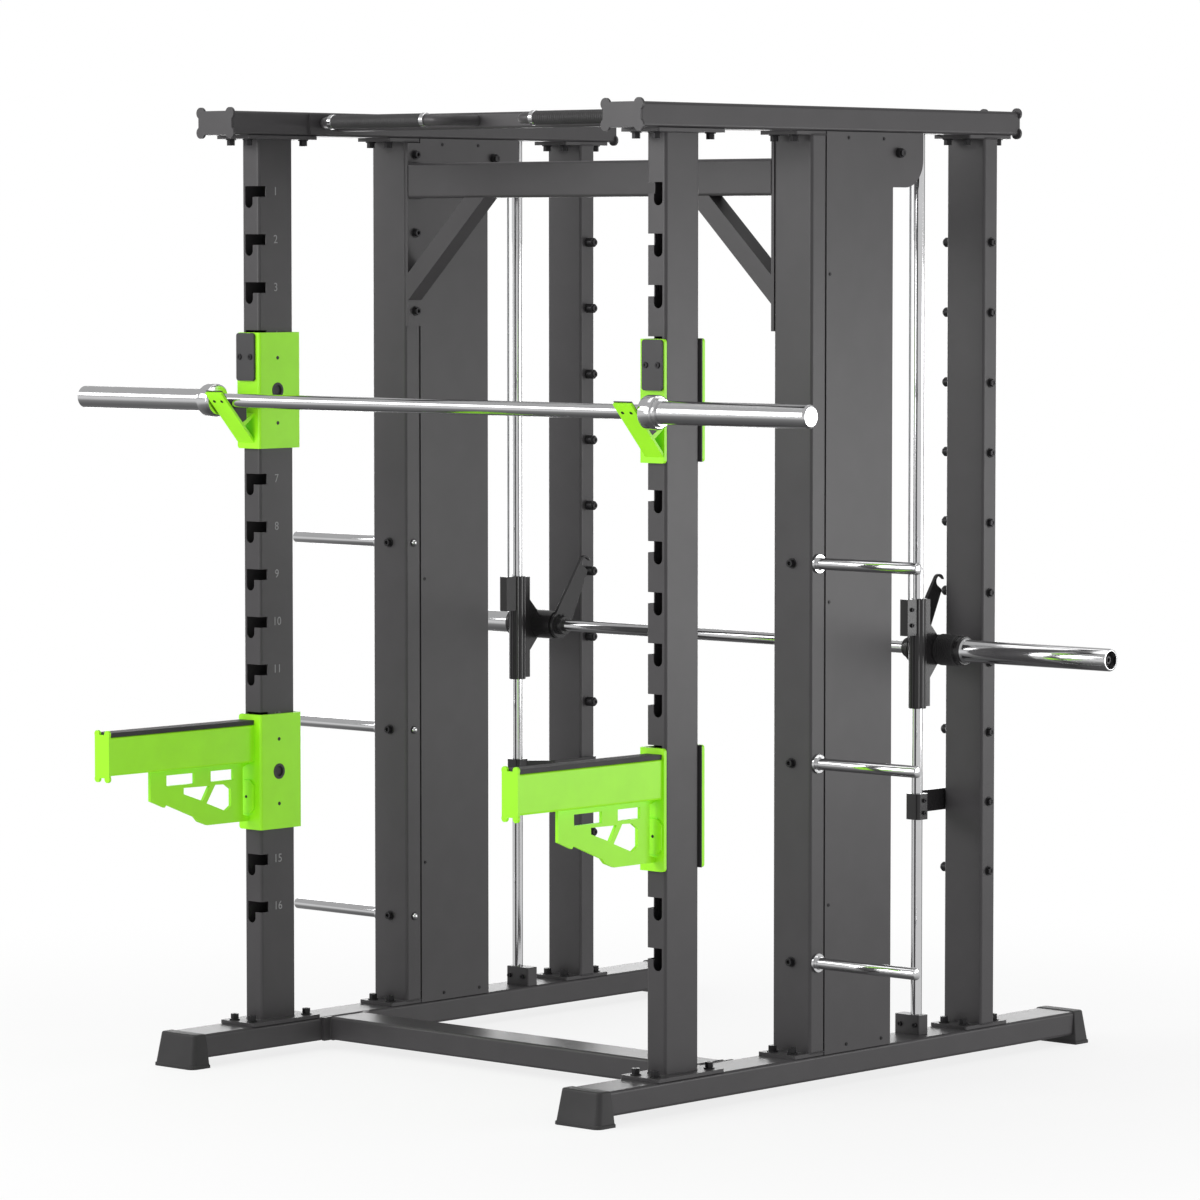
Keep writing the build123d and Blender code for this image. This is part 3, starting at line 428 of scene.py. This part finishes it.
# The uprights, rods and cables of a side stand on one line, and the wide uprights share two faces.
post_x, inner_face, outer_face = 0.615, 0.561, 0.669
up, down, front = (0, 0, 1), (0, 0, -1), (0, -1, 0)
bolt_dx, bolt_in = 0.028, 0.021
flange_bolts, plate_screws, peg_screws, panel_screws = [], [], [], []
disc_peg_levels, end_plate_levels = (1.157, 0.719, 0.281), (1.697, 1.878, 2.059)
panel_places = ((0.014, 0.405), (0.014, 1.071), (0.014, 1.787), (0.077, 0.091), (0.198, 0.091),
                (0.077, 2.084), (0.198, 2.083))
for side, tag in SIDES:
    inward, outward = (-side, 0, 0), (side, 0, 0)
    for name in ("front", "middle", "rear"):
        low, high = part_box(f"{name}_upright_{tag}")
        x, y = (low.x + high.x) / 2, (low.y + high.y) / 2
        for dx in (-bolt_dx, bolt_dx):
            for dy in (low.y - y + bolt_in, high.y - y - bolt_in):
                flange_bolts += [((x + dx, y + dy, low.z + flange_t), up),
                                 ((x + dx, y + dy, high.z - flange_t), down)]
    low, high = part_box("upper_crossmember")
    middle_y = (low.y + high.y) / 2
    for level in end_plate_levels:
        plate_screws.append(((side * (high.x - flange_t), middle_y, level), inward))
    for level in disc_peg_levels:
        plate_screws.append(((side * post_x, low.y, level), front))
        peg_screws.append(((side * high.x, middle_y, level), inward))
    for y, level in panel_places:
        panel_screws += [((side * inner_face, y, level), inward), ((side * outer_face, y, level), outward)]
flange_heads = bolts("flange_bolts", flange_bolts, "frame")
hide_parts("frame_bolts")
bolts("plate_screws", plate_screws, "frame", 28, head=(0.0085, 0.009), washer=(0.0115, 0.002),
      hole=(0.0048, 0.005))
bolts("panel_screws", panel_screws, "frame", 20, head=(0.0034, 0.0012), washer=(0.004, 0.0005),
      hole=(0.0015, 0.0008))

# Slot numbers
# Each J slot has its number screen-printed in pale grey on the inner face beside it.
# The print is a thin film on top of the powder coat.
print_ink = finish("pale grey ink", (0.27, 0.27, 0.275), 0.5, grain=2500, grain_depth=0.00001)
slot_count, slot_pitch, top_slot, number_size = 16, 0.1086, 1.971, 0.027
print_y, print_clear, print_depth = -0.442, 0.0002, 0.00008
for side, tag in SIDES:
    face_x = side * (post_x - tube_thin / 2 - print_clear)
    reading = Matrix(((0, 0, -side), (-side, 0, 0), (0, 1, 0))).to_4x4()
    made = []
    for n in range(slot_count):
        words = bpy.data.curves.new("number", "FONT")
        words.body, words.size, words.align_x, words.align_y = str(n + 1), number_size, "CENTER", "CENTER"
        words.extrude = print_depth
        letter = bpy.data.objects.new("number", words)
        everything.link(letter)
        flat = bpy.data.meshes.new_from_object(
            letter.evaluated_get(bpy.context.evaluated_depsgraph_get()))
        flat.transform(Matrix.Translation((face_x, print_y, top_slot - slot_pitch * n)) @ reading)
        made.append(flat)
        bpy.data.objects.remove(letter)
    joined = bmesh.new()
    for flat in made:
        joined.from_mesh(flat)
    digits = bpy.data.meshes.new(f"slot_numbers_{tag}")
    joined.to_mesh(digits)
    joined.free()
    digits.materials.clear()
    digits.materials.append(print_ink)
    numbers = bpy.data.objects.new(f"slot_numbers_{tag}", digits)
    everything.link(numbers)
    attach(numbers, "frame")

# Boots
# Moulded black rubber boots slip over the four rail ends and flare to a lip on the floor.
# The rubber is matt, with a fine mould texture, and its outer corners are well rounded.
black_rubber = finish("black rubber", (0.03, 0.029, 0.03), 0.58, grain=700, grain_depth=0.00012, tint=0.12)
rail_ends, boot_top, boot_round, inner_corner = ((-0.732, -1), (0.936, 1)), 0.0768, 0.005, 0.003
top_half, top_out, top_in, top_corner = 0.0565, 0.0045, 0.034, 0.012
# Each row: its height, half its width, its reach past the rail's end and back over it, its corner.
boot_rows = [(0, 0.0655, 0.019, 0.0385, 0.016), (0.006, 0.0655, 0.019, 0.0385, 0.016),
             (0.0085, 0.0632, 0.0165, 0.0375, 0.015), (0.012, 0.0628, 0.016, 0.0373, 0.015)]
for turn in range(0, 91, 15):
    inset = boot_round * (1 - cos(radians(turn)))
    boot_rows.append((boot_top - boot_round * (1 - sin(radians(turn))), top_half - inset, top_out - inset,
                      top_in - inset, top_corner - inset))
boots = bmesh.new()
for side, _ in SIDES:
    for end_y, way in rail_ends:
        loops = []
        for level, half, out_by, in_by, corner in boot_rows:
            loop = []
            for sx, sy, start, r in ((1, 1, 0, corner), (-1, 1, 90, corner), (-1, -1, 180, inner_corner),
                                     (1, -1, 270, inner_corner)):
                middle = (sx * (half - r), out_by - r if sy > 0 else r - in_by)
                for turn in range(start, start + 91, 15):
                    boot_x = side * post_x + middle[0] + r * cos(radians(turn))
                    boot_y = end_y + way * (middle[1] + r * sin(radians(turn)))
                    loop.append(boots.verts.new((boot_x, boot_y, level)))
            loops.append(loop)
        for lower, upper in zip(loops, loops[1:]):
            for k in range(len(lower)):
                boots.faces.new((lower[k - 1], lower[k], upper[k], upper[k - 1]))
        boots.faces.new(loops[0])
        boots.faces.new(loops[-1])
bmesh.ops.recalc_face_normals(boots, faces=boots.faces)
boots_mesh = bpy.data.meshes.new("boots")
boots.to_mesh(boots_mesh)
boots.free()
boots_mesh.materials.append(black_rubber)
boots_mesh.shade_smooth()
boots_mesh.set_sharp_from_angle(angle=radians(35))
boots_piece = bpy.data.objects.new("boots", boots_mesh)
everything.link(boots_piece)
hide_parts("rubber_feet")
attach(boots_piece, "frame")

# Pull-up station
# A square crossbar carries two bent round handles; a rubber grip sits between chrome rings on each.
# The bar is coated, the grips are ribbed sleeves pushed on before the rings are shrunk on.
chrome = finish("polished chrome", (0.82, 0.82, 0.83), 0.09, metallic=1.0, grain=60, grain_depth=0.00001,
                tint=0.02, scuff=0.03, stretch=(0.4, 8, 8))


def turned(name, body, material, start, along, profile, nodes=(), steps=72, angle=30):
    """A lathe-turned piece from (distance along, radius) steps; a radius of 0 closes an end."""
    axis = Vector(along).normalized()
    u = axis.orthogonal().normalized()
    v = axis.cross(u)
    work = bmesh.new()
    rings = []
    for away, r in profile:
        centre = Vector(start) + axis * away
        if r == 0:
            rings.append([work.verts.new(centre)])
        else:
            rings.append([work.verts.new(centre + u * (r * cos(2 * pi * k / steps))
                                         + v * (r * sin(2 * pi * k / steps))) for k in range(steps)])
    for one, two in zip(rings, rings[1:] + ([rings[0]] if profile[0][1] else [])):
        for k in range(steps):
            corners = [one[k % len(one)], one[(k + 1) % len(one)], two[(k + 1) % len(two)], two[k % len(two)]]
            corners = [c for i, c in enumerate(corners) if c not in corners[:i]]
            if len(corners) > 2:
                work.faces.new(corners)
    bmesh.ops.recalc_face_normals(work, faces=work.faces)
    mesh = bpy.data.meshes.new(name)
    work.to_mesh(mesh)
    work.free()
    mesh.materials.append(material)
    mesh.shade_smooth()
    mesh.set_sharp_from_angle(angle=radians(angle))
    piece = bpy.data.objects.new(name, mesh)
    everything.link(piece)
    if nodes:
        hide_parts(*nodes)
    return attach(piece, body)


softened("pull_up_frame", "frame", charcoal, edge=0.002)
handle_y, handle_z, handle_r = -0.390, 2.127, 0.0125
grip_in, grip_out, ring_wide, rib_pitch = 0.172, 0.448, 0.012, 0.006
rib_shape = ((0.15, 0.0028), (0.4, 0.003), (0.65, 0.0028), (0.82, 0.002))
for side, tag in SIDES:
    ribs = int((grip_out - grip_in) / rib_pitch)
    sleeve = [(0, handle_r + 0.0002), (0, handle_r + 0.002)]
    for k in range(ribs):
        sleeve += [(rib_pitch * (k + part), handle_r + proud) for part, proud in rib_shape]
    sleeve += [(grip_out - grip_in, handle_r + 0.002), (grip_out - grip_in, handle_r + 0.0002)]
    turned(f"grip_{tag}", "frame", black_rubber, (side * grip_in, handle_y, handle_z),
           (side, 0, 0), sleeve, nodes=["pull_up_grips"], steps=48, angle=50)
    for name, x in (("inner", grip_in - ring_wide), ("outer", grip_out)):
        turned(f"grip_ring_{name}_{tag}", "frame", chrome, (side * x, handle_y, handle_z),
               (side, 0, 0), [(0, handle_r + 0.0001), (0, handle_r + 0.003), (0.001, handle_r + 0.004),
                              (ring_wide - 0.001, handle_r + 0.004), (ring_wide, handle_r + 0.003),
                              (ring_wide, handle_r + 0.0001)], nodes=["pull_up_rings"])

# Guide rods
# Hard-chromed ground steel rods, one a side, that the carriages run on.
# Each stands in a clamp block on the rail and runs up into the top beam.
for side, tag in SIDES:
    low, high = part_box(f"guide_rod_{tag}")
    r = (high.x - low.x) / 2
    turned(f"guide_rod_{tag}_made", "frame", chrome,
           (side * post_x, (low.y + high.y) / 2, low.z), (0, 0, 1),
           [(0, 0), (0, r), (high.z - low.z, r), (high.z - low.z, 0)], nodes=[f"guide_rod_{tag}"], steps=64)
clamp_xs, clamp_y, clamp_z = (0.583, 0.625), 0.372, 0.097
bolts("clamp_screws", [((side * x, clamp_y, clamp_z), front) for side, _ in SIDES for x in clamp_xs],
      "frame", 24, head=(0.005, 0.005), washer=(0.0055, 0.0004), hole=(0.0028, 0.0025))

# Lock pegs
# Black-oxide steel bushes stand on the inner face of each rear upright, one above the other.
# A socket screw goes through each bush and upright, with a washer and nut outside.
peg_count, peg_top, peg_pitch, peg_y, peg_reach, peg_r = 10, 1.856, 0.1582, 0.580, 0.022, 0.011
peg_heads, peg_nuts = [], []
for side, tag in SIDES:
    for n in range(peg_count):
        level = peg_top - peg_pitch * n
        turned(f"lock_bush_{n + 1}_{tag}", "frame", black_oxide,
               (side * inner_face, peg_y, level), (-side, 0, 0),
               [(0, 0), (0, peg_r - 0.001), (0.001, peg_r), (peg_reach - 0.0015, peg_r),
                (peg_reach, peg_r - 0.0015), (peg_reach, 0)], nodes=[f"lock_pegs_{tag}"], steps=40)
        peg_heads.append(((side * (inner_face - peg_reach), peg_y, level), (-side, 0, 0)))
        peg_nuts.append(((side * outer_face, peg_y, level), (side, 0, 0)))
bolts("peg_screws", peg_heads, "frame", 24, head=(0.0078, 0.0026), washer=(0.008, 0.0004),
      hole=(0.004, 0.002))
bolts("peg_nuts", peg_nuts, "frame", head=(0.0085, 0.007), washer=(0.011, 0.0018), hole=(0.0042, 0.0015))

# Disc pegs
# Chromed round pegs, three a side, hold spare discs on the middle uprights.
# Each has a welded flange ring outside, and a dome-headed chrome screw on a black washer inside.
seat_r, seat_t, disc_peg_r, washer_r, washer_t, dome_r, dome_high = (0.021, 0.005, 0.013, 0.0095, 0.0015,
                                                                     0.0078, 0.0062)
for side, tag in SIDES:
    low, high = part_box(f"disc_pegs_{tag}")
    reach, disc_peg_y = high.x - low.x, (low.y + high.y) / 2
    for n, level in enumerate(disc_peg_levels):
        turned(f"disc_peg_{n + 1}_{tag}", "frame", chrome,
               (side * outer_face, disc_peg_y, level), (side, 0, 0),
               [(0, 0), (0, seat_r - 0.0005), (0.0005, seat_r), (seat_t - 0.0008, seat_r),
                (seat_t, seat_r - 0.0008), (seat_t, disc_peg_r + 0.0015), (seat_t + 0.0015, disc_peg_r),
                (reach - 0.003, disc_peg_r), (reach - 0.0012, disc_peg_r - 0.0008),
                (reach, disc_peg_r - 0.0032), (reach, 0)], nodes=[f"disc_pegs_{tag}"])
        inner = (side * inner_face, disc_peg_y, level)
        turned(f"peg_washer_{n + 1}_{tag}", "frame", black_oxide, inner, (-side, 0, 0),
               [(0, 0), (0, washer_r), (washer_t, washer_r), (washer_t, 0)], steps=40)
        dome = [(washer_t + dome_high * sin(radians(a)), dome_r * cos(radians(a))) for a in range(0, 90, 9)]
        turned(f"peg_dome_{n + 1}_{tag}", "frame", chrome, inner, (-side, 0, 0),
               [(washer_t, 0)] + dome + [(washer_t + dome_high, 0)], steps=40, angle=60)

# Pulleys, axles and counterweights
# Two nylon wheels a side run in a carrier inside the housing's ear, on a through bolt.
# A cast-iron weight hangs on the front run of each cable, inside the housing.
nylon = finish("black nylon", (0.035, 0.035, 0.037), 0.45, grain=1200)
iron = finish("painted cast iron", (0.04, 0.04, 0.042), 0.62, grain=260, grain_depth=0.0004, tint=0.15)
softened("pulley_axles", "frame", black_oxide, edge=0.0008)
axle_y, axle_z, axle_ends = 0.250, 2.053, ((0.678, 1), (0.552, -1))
bolts("axle_nuts", [((side * x, axle_y, axle_z), (side * way, 0, 0)) for side, _ in SIDES
                    for x, way in axle_ends], "frame", head=(0.0088, 0.005), washer=(0.0106, 0.0008))
for _, tag in SIDES:
    for place in ("back", "front"):
        softened(f"pulley_{place}_{tag}", f"pulley_{place}_{tag}", nylon, edge=0.0006)
    softened(f"counterweight_{tag}", f"counterweight_{tag}", iron, edge=0.003, segments=3)

# Cables
# Galvanised steel rope of six strands laid round a core, clear over the two pulleys.
# The straight spans, which lengthen and shorten as the carriage moves, are built at rest and left unparented;
# the span over the wheels stays on the frame.
bright_wire = finish("galvanised wire", (0.42, 0.43, 0.44), 0.34, metallic=0.9, grain=1500)
strand_count, strand_depth = 6, 0.78
rope_tree, given, out = new_tree("wire rope", ("Rope radius", 0.0025), ("Lay length", 0.022),
                                 ("Step", 0.0025))
line, walk, strands, sweep_on = added(rope_tree.nodes, "GeometryNodeMeshToCurve",
                                      "GeometryNodeResampleCurve", "GeometryNodeCurveStar",
                                      "GeometryNodeCurveToMesh")
walk.mode = "LENGTH"
strands.inputs["Points"].default_value = strand_count
sweep_on.inputs["Fill Caps"].default_value = True
tilt, along_it, per_turn, whole_turns = added(rope_tree.nodes, "GeometryNodeSetCurveTilt",
                                              "GeometryNodeSplineParameter", "ShaderNodeMath",
                                              "ShaderNodeMath")
per_turn.operation, whole_turns.operation = "DIVIDE", "MULTIPLY"
whole_turns.inputs[1].default_value = 2 * pi
rope_tree.links.new(along_it.outputs["Length"], per_turn.inputs[0])
rope_tree.links.new(given.outputs["Lay length"], per_turn.inputs[1])
rope_tree.links.new(per_turn.outputs[0], whole_turns.inputs[0])
rope_tree.links.new(given.outputs["Places"], line.inputs["Mesh"])
rope_tree.links.new(line.outputs["Curve"], walk.inputs["Curve"])
rope_tree.links.new(given.outputs["Step"], walk.inputs["Length"])
rope_tree.links.new(walk.outputs["Curve"], tilt.inputs["Curve"])
rope_tree.links.new(whole_turns.outputs[0], tilt.inputs["Tilt"])
rope_tree.links.new(given.outputs["Rope radius"], strands.inputs["Outer Radius"])
rope_tree.links.new(sum_of(rope_tree, (given.outputs["Rope radius"], strand_depth)),
                    strands.inputs["Inner Radius"])
rope_tree.links.new(tilt.outputs["Curve"], sweep_on.inputs["Curve"])
rope_tree.links.new(strands.outputs["Curve"], sweep_on.inputs["Profile Curve"])
finish_tree(rope_tree, sweep_on.outputs["Mesh"], given, out)


def rope_line(name, points):
    """A mesh of one open line of edges."""
    mesh = bpy.data.meshes.new(name)
    mesh.from_pydata([tuple(p) for p in points], [(i, i + 1) for i in range(len(points) - 1)], [])
    return mesh


wheel_z, groove_r, back_y, front_y = 2.046, 0.041, 0.317, 0.183
for side, tag in SIDES:
    x = side * post_x
    arch = [(x, back_y + groove_r * cos(radians(a)), wheel_z + groove_r * sin(radians(a)))
            for a in range(0, 91, 6)]
    arch += [(x, front_y - groove_r * sin(radians(a)), wheel_z + groove_r * cos(radians(a)))
             for a in range(0, 91, 6)]
    over = grown(f"cable_over_{tag}", rope_line("cable", arch), rope_tree, "frame", bright_wire,
                 "bright_steel", angle=70)
    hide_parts("cable_tops")
    for node, other in ((f"cable_back_{tag}", "carriage"), (f"cable_front_{tag}", f"counterweight_{tag}")):
        low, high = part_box(node)
        y = (low.y + high.y) / 2
        span = grown(node + "_made", rope_line("cable", [(x, y, low.z), (x, y, high.z)]), rope_tree, "frame",
                     bright_wire, "bright_steel", angle=70)
        span.parent = None
        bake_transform(span)
        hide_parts(node)

# Carriages
# A fluted black tube with a linear bush in each end runs on the guide rod. A cable block is welded
# to its front and a web to its back, and the web carries the bar's bearing housing.
gloss_black = finish("black enamel", (0.022, 0.021, 0.022), 0.22, grain=500, grain_depth=0.00003)
bar_y, bar_z, hub_in, hub_r = 0.463, 0.9405, 0.552, 0.034
softened("carriage_bushes", "carriage", nylon, edge=0.0006)
rod_y, sleeve_levels = 0.389, (0.8125, 1.0575)
flute_in, flute_out, flutes = 0.0193, 0.0202, 14
flute_steps = ((flute_out, 0), (flute_out, 0), (flute_out, 0),
               (flute_in, 0.1), (flute_in, 0), (flute_in, -0.1))
fold_from, fold_pitch, folds, cover_end = 0.074, 0.005, 9, 0.1275
for side, tag in SIDES:
    softened(f"carriage_{tag}", "carriage", gloss_black, edge=0.0015)
    outline = [(r, 2 * pi * (6 * flute + k + shift) / (6 * flutes)) for flute in range(flutes)
               for k, (r, shift) in enumerate(flute_steps)]
    skin = bmesh.new()
    lower, upper = [[skin.verts.new((side * post_x + r * cos(a), rod_y + r * sin(a), z)) for r, a in outline]
                    for z in sleeve_levels]
    for k in range(len(outline)):
        skin.faces.new((lower[k - 1], lower[k], upper[k], upper[k - 1]))
    skin.faces.new(upper)
    skin.faces.new(lower[::-1])
    bmesh.ops.recalc_face_normals(skin, faces=skin.faces)
    fluted_mesh = bpy.data.meshes.new(f"carriage_flutes_{tag}")
    skin.to_mesh(fluted_mesh)
    skin.free()
    fluted_mesh.materials.append(gloss_black)
    fluted = bpy.data.objects.new(f"carriage_flutes_{tag}", fluted_mesh)
    everything.link(fluted)
    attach(fluted, "carriage")
    bellows = [(fold_from, hub_r - 0.003), (fold_from, hub_r + 0.0004)]
    for k in range(folds):
        bellows += [(fold_from + fold_pitch * k + along, hub_r + proud)
                    for along, proud in ((0.0025, 0.0016), (0.0045, 0.0016), (0.005, 0.0002))]
    bellows += [(cover_end - 0.006, hub_r + 0.0012), (cover_end, hub_r + 0.0012), (cover_end, hub_r - 0.003)]
    turned(f"bearing_cover_{tag}", "carriage", black_rubber, (side * hub_in, bar_y, bar_z),
           (side, 0, 0), bellows, angle=50)
block_half, block_y, block_levels = 0.011, 0.355, (1.0, 1.035)
bolts("cable_clamp_screws", [((side * (post_x + block_half), block_y, z), (side, 0, 0)) for side, _ in SIDES
                             for z in block_levels], "carriage", 24, head=(0.0045, 0.004),
      washer=(0.005, 0.0004), hole=(0.0024, 0.002))

# Smith bar
# A chromed shaft turns in the two bearing housings. Outside them sit chromed disc sleeves with a
# black thrust collar, open at the end, where a screw and washer hold the sleeve on.
low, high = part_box("smith_bar_shaft")
shaft_r, shaft_half = (high.z - low.z) / 2, (high.x - low.x) / 2
turned("smith_shaft", "smith_bar", chrome, (-shaft_half, bar_y, bar_z), (1, 0, 0),
       [(0, 0), (0, shaft_r), (2 * shaft_half, shaft_r), (2 * shaft_half, 0)], nodes=["smith_bar_shaft"])
sleeve_in, collar_wide, sleeve_r, bar_half, mouth_r = 0.6835, 0.011, 0.025, 1.1, 0.020
for side, tag in SIDES:
    long_to = bar_half - sleeve_in
    turned(f"smith_collar_{tag}", "smith_bar", gloss_black,
           (side * sleeve_in, bar_y, bar_z), (side, 0, 0),
           [(0, shaft_r + 0.0002), (0, 0.0322), (0.0012, 0.0335), (collar_wide - 0.002, 0.0335),
            (collar_wide, 0.0315), (collar_wide, 0.0252), (collar_wide, shaft_r + 0.0002)],
           nodes=["smith_bar_sleeves"])
    turned(f"smith_sleeve_{tag}", "smith_bar", chrome,
           (side * sleeve_in, bar_y, bar_z), (side, 0, 0),
           [(collar_wide + 0.0001, shaft_r + 0.0003), (collar_wide + 0.0001, 0.0285),
            (collar_wide + 0.002, 0.0285), (collar_wide + 0.003, 0.0275), (collar_wide + 0.006, sleeve_r),
            (long_to - 0.0025, sleeve_r), (long_to - 0.0008, 0.0242), (long_to, 0.0228),
            (long_to, mouth_r + 0.0006), (long_to - 0.0008, mouth_r), (long_to - 0.016, mouth_r),
            (long_to - 0.016, shaft_r + 0.0003)], nodes=["smith_bar_sleeves"])
ends = bolts("bar_end_screws_made", [((side * shaft_half, bar_y, bar_z), (side, 0, 0)) for side, _ in SIDES],
             "smith_bar", 28, head=(0.009, 0.0075), washer=(0.0195, 0.002), hole=(0.005, 0.004))
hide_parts("bar_end_screws")

# Lock hooks and safety stops
# A hook of black steel plate is clamped on the bar beside each carriage and swings over a peg.
# Lower down, a steel clamp on each guide rod has a strap back to a peg and stops the carriage.
hook_x, hook_screw_y, hook_screw_z = 0.533, bar_y - 0.0005, bar_z + 0.0215
stop_face, stop_z, stop_screw_dz = 0.635, 0.5904, 0.014
for side, tag in SIDES:
    softened(f"lock_hook_{tag}", "smith_bar", gloss_black, edge=0.0012)
    softened(f"safety_stop_{tag}", f"safety_stop_{tag}", gloss_black, edge=0.0015)
    bolts(f"hook_clamp_screws_{tag}", [((side * hook_x, hook_screw_y, hook_screw_z), up)], "smith_bar", 24,
          head=(0.004, 0.0035), washer=(0.0045, 0.0004), hole=(0.0022, 0.002))
    bolts(f"stop_clamp_screws_{tag}", [((side * stop_face, rod_y, stop_z + dz), (side, 0, 0))
                                       for dz in (-stop_screw_dz, stop_screw_dz)], f"safety_stop_{tag}", 24,
          head=(0.0045, 0.004), washer=(0.005, 0.0004), hole=(0.0024, 0.002))

# Barbell
# A chromed steel shaft carries two sleeves that turn on it. Each sleeve is turned from bar, with
# a wide collar, a step and a chamfered closed end.
satin_chrome = finish("turned chrome", (0.82, 0.82, 0.83), 0.12, metallic=1.0, grain=60, grain_depth=0.00002,
                      tint=0.02, scuff=0.05, stretch=(30, 1.5, 1.5))
low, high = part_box("barbell_shaft")
grip_r = (high.z - low.z) / 2
barbell_y, barbell_z, shoulder, spigot_r = (low.y + high.y) / 2, (low.z + high.z) / 2, 0.6495, 0.014
sleeve_from, sleeve_long, plug_from, collar_r, disc_r = 0.65, 0.45, 0.439, 0.037, 0.025
turned("barbell_shaft_made", "barbell", chrome, (0, barbell_y, barbell_z), (1, 0, 0),
       [(-high.x, 0), (-high.x, spigot_r), (-shoulder, spigot_r), (-shoulder, grip_r), (shoulder, grip_r),
        (shoulder, spigot_r), (high.x, spigot_r), (high.x, 0)], nodes=["barbell_shaft"])
for side, tag in SIDES:
    turned(f"barbell_sleeve_{tag}_made", f"barbell_sleeve_{tag}", satin_chrome,
           (side * sleeve_from, barbell_y, barbell_z), (side, 0, 0),
           [(0, spigot_r + 0.0002), (0, collar_r - 0.0045), (0.0035, collar_r - 0.0008), (0.006, collar_r),
            (0.030, collar_r), (0.0335, collar_r - 0.0008), (0.036, collar_r - 0.0035), (0.036, 0.0312),
            (0.0385, 0.031), (0.043, 0.031), (0.045, 0.029), (0.045, disc_r + 0.0002), (0.0475, disc_r),
            (sleeve_long - 0.0045, disc_r), (sleeve_long - 0.0006, disc_r - 0.0039),
            (sleeve_long, disc_r - 0.0047), (sleeve_long, 0), (plug_from, 0), (plug_from, spigot_r + 0.0002)],
           nodes=[f"barbell_sleeve_{tag}"], steps=96)

# J hooks
# Folded 8 mm steel brackets in lime green hook into the slots and hold the barbell in a cup.
# A black plastic liner, a cradle in the cup and a screwed pad above keep steel off steel.
lime = finish("lime powder coat", (0.36, 0.92, 0.011), 0.38, grain=800, tint=0.03)
liner_plastic = finish("moulded charcoal plastic", (0.042, 0.041, 0.043), 0.5, grain=1100,
                       grain_depth=0.00006, tint=0.08)
pad_x, pad_y, pad_z = 0.617, -0.5123, 1.597
cup_x, cup_y, cup_z, cup_facing = 0.620, -0.5938, 1.4977, (0, -0.738, -0.675)
for side, tag in SIDES:
    softened(f"j_hook_{tag}", f"j_hook_{tag}", lime, edge=0.0014)
    softened(f"j_hook_pads_{tag}", f"j_hook_{tag}", liner_plastic, edge=0.0012)
    bolts(f"pad_screws_{tag}", [((side * pad_x + dx, pad_y, pad_z), front) for dx in (-0.017, 0.017)],
          f"j_hook_{tag}", 24, head=(0.0062, 0.002), washer=(0.0072, 0.0005), hole=(0.003, 0.0014))
    bolts(f"cup_screws_{tag}", [((side * cup_x + dx, cup_y, cup_z), cup_facing) for dx in (-0.012, 0.012)],
          f"j_hook_{tag}", 20, head=(0.0034, 0.0008), washer=(0.0038, 0.0002), hole=(0.0015, 0.0005))

# Bracket windows
# A round window in each bracket's inner wall shows whether the studs are seated. A moulded black
# ring is pressed into it and keeps a finger off the laser-cut edge.
wall_x, window_y, ring_r, bore_r, window_screw_dz = 0.5767, -0.448, 0.0178, 0.0118, 0.074
hook_level, spotter_level = 1.5207, 0.6519
window_ring = [(-0.004, 0), (-0.004, bore_r), (0.0004, bore_r), (0.0012, bore_r + 0.0008),
               (0.0012, ring_r - 0.0012), (0.0004, ring_r), (-0.0005, ring_r), (-0.0005, bore_r + 0.002),
               (-0.006, bore_r + 0.002), (-0.006, 0)]
for side, tag in SIDES:
    for body, level in ((f"j_hook_{tag}", hook_level), (f"spotter_{tag}", spotter_level)):
        turned(f"window_ring_{body}", body, liner_plastic,
               (side * wall_x, window_y, level), (-side, 0, 0), window_ring, steps=48)
        bolts(f"window_screws_{body}", [((side * wall_x, window_y, level + dz), (-side, 0, 0))
                                        for dz in (-window_screw_dz, window_screw_dz)], body, 24,
              head=(0.0038, 0.0006), washer=(0.0042, 0.0002), hole=(0.0018, 0.0004))

# Spotter arms
# Lime green box-section arms on the same bracket, with a lobed end plate and a laser-cut truss
# below. A black rubber strip is glued along the top to take the bar.
cover_x, cover_y, cover_z = 0.620, -0.5113, 0.5955
for side, tag in SIDES:
    softened(f"spotter_arm_{tag}", f"spotter_{tag}", lime, edge=0.0014)
    softened(f"spotter_pads_{tag}", f"spotter_{tag}", black_rubber, edge=0.0012)
    bolts(f"cover_screws_{tag}", [((side * cover_x, cover_y, cover_z), front)], f"spotter_{tag}", 20,
          head=(0.003, 0.0008), washer=(0.0034, 0.0003), hole=(0.0014, 0.0005))
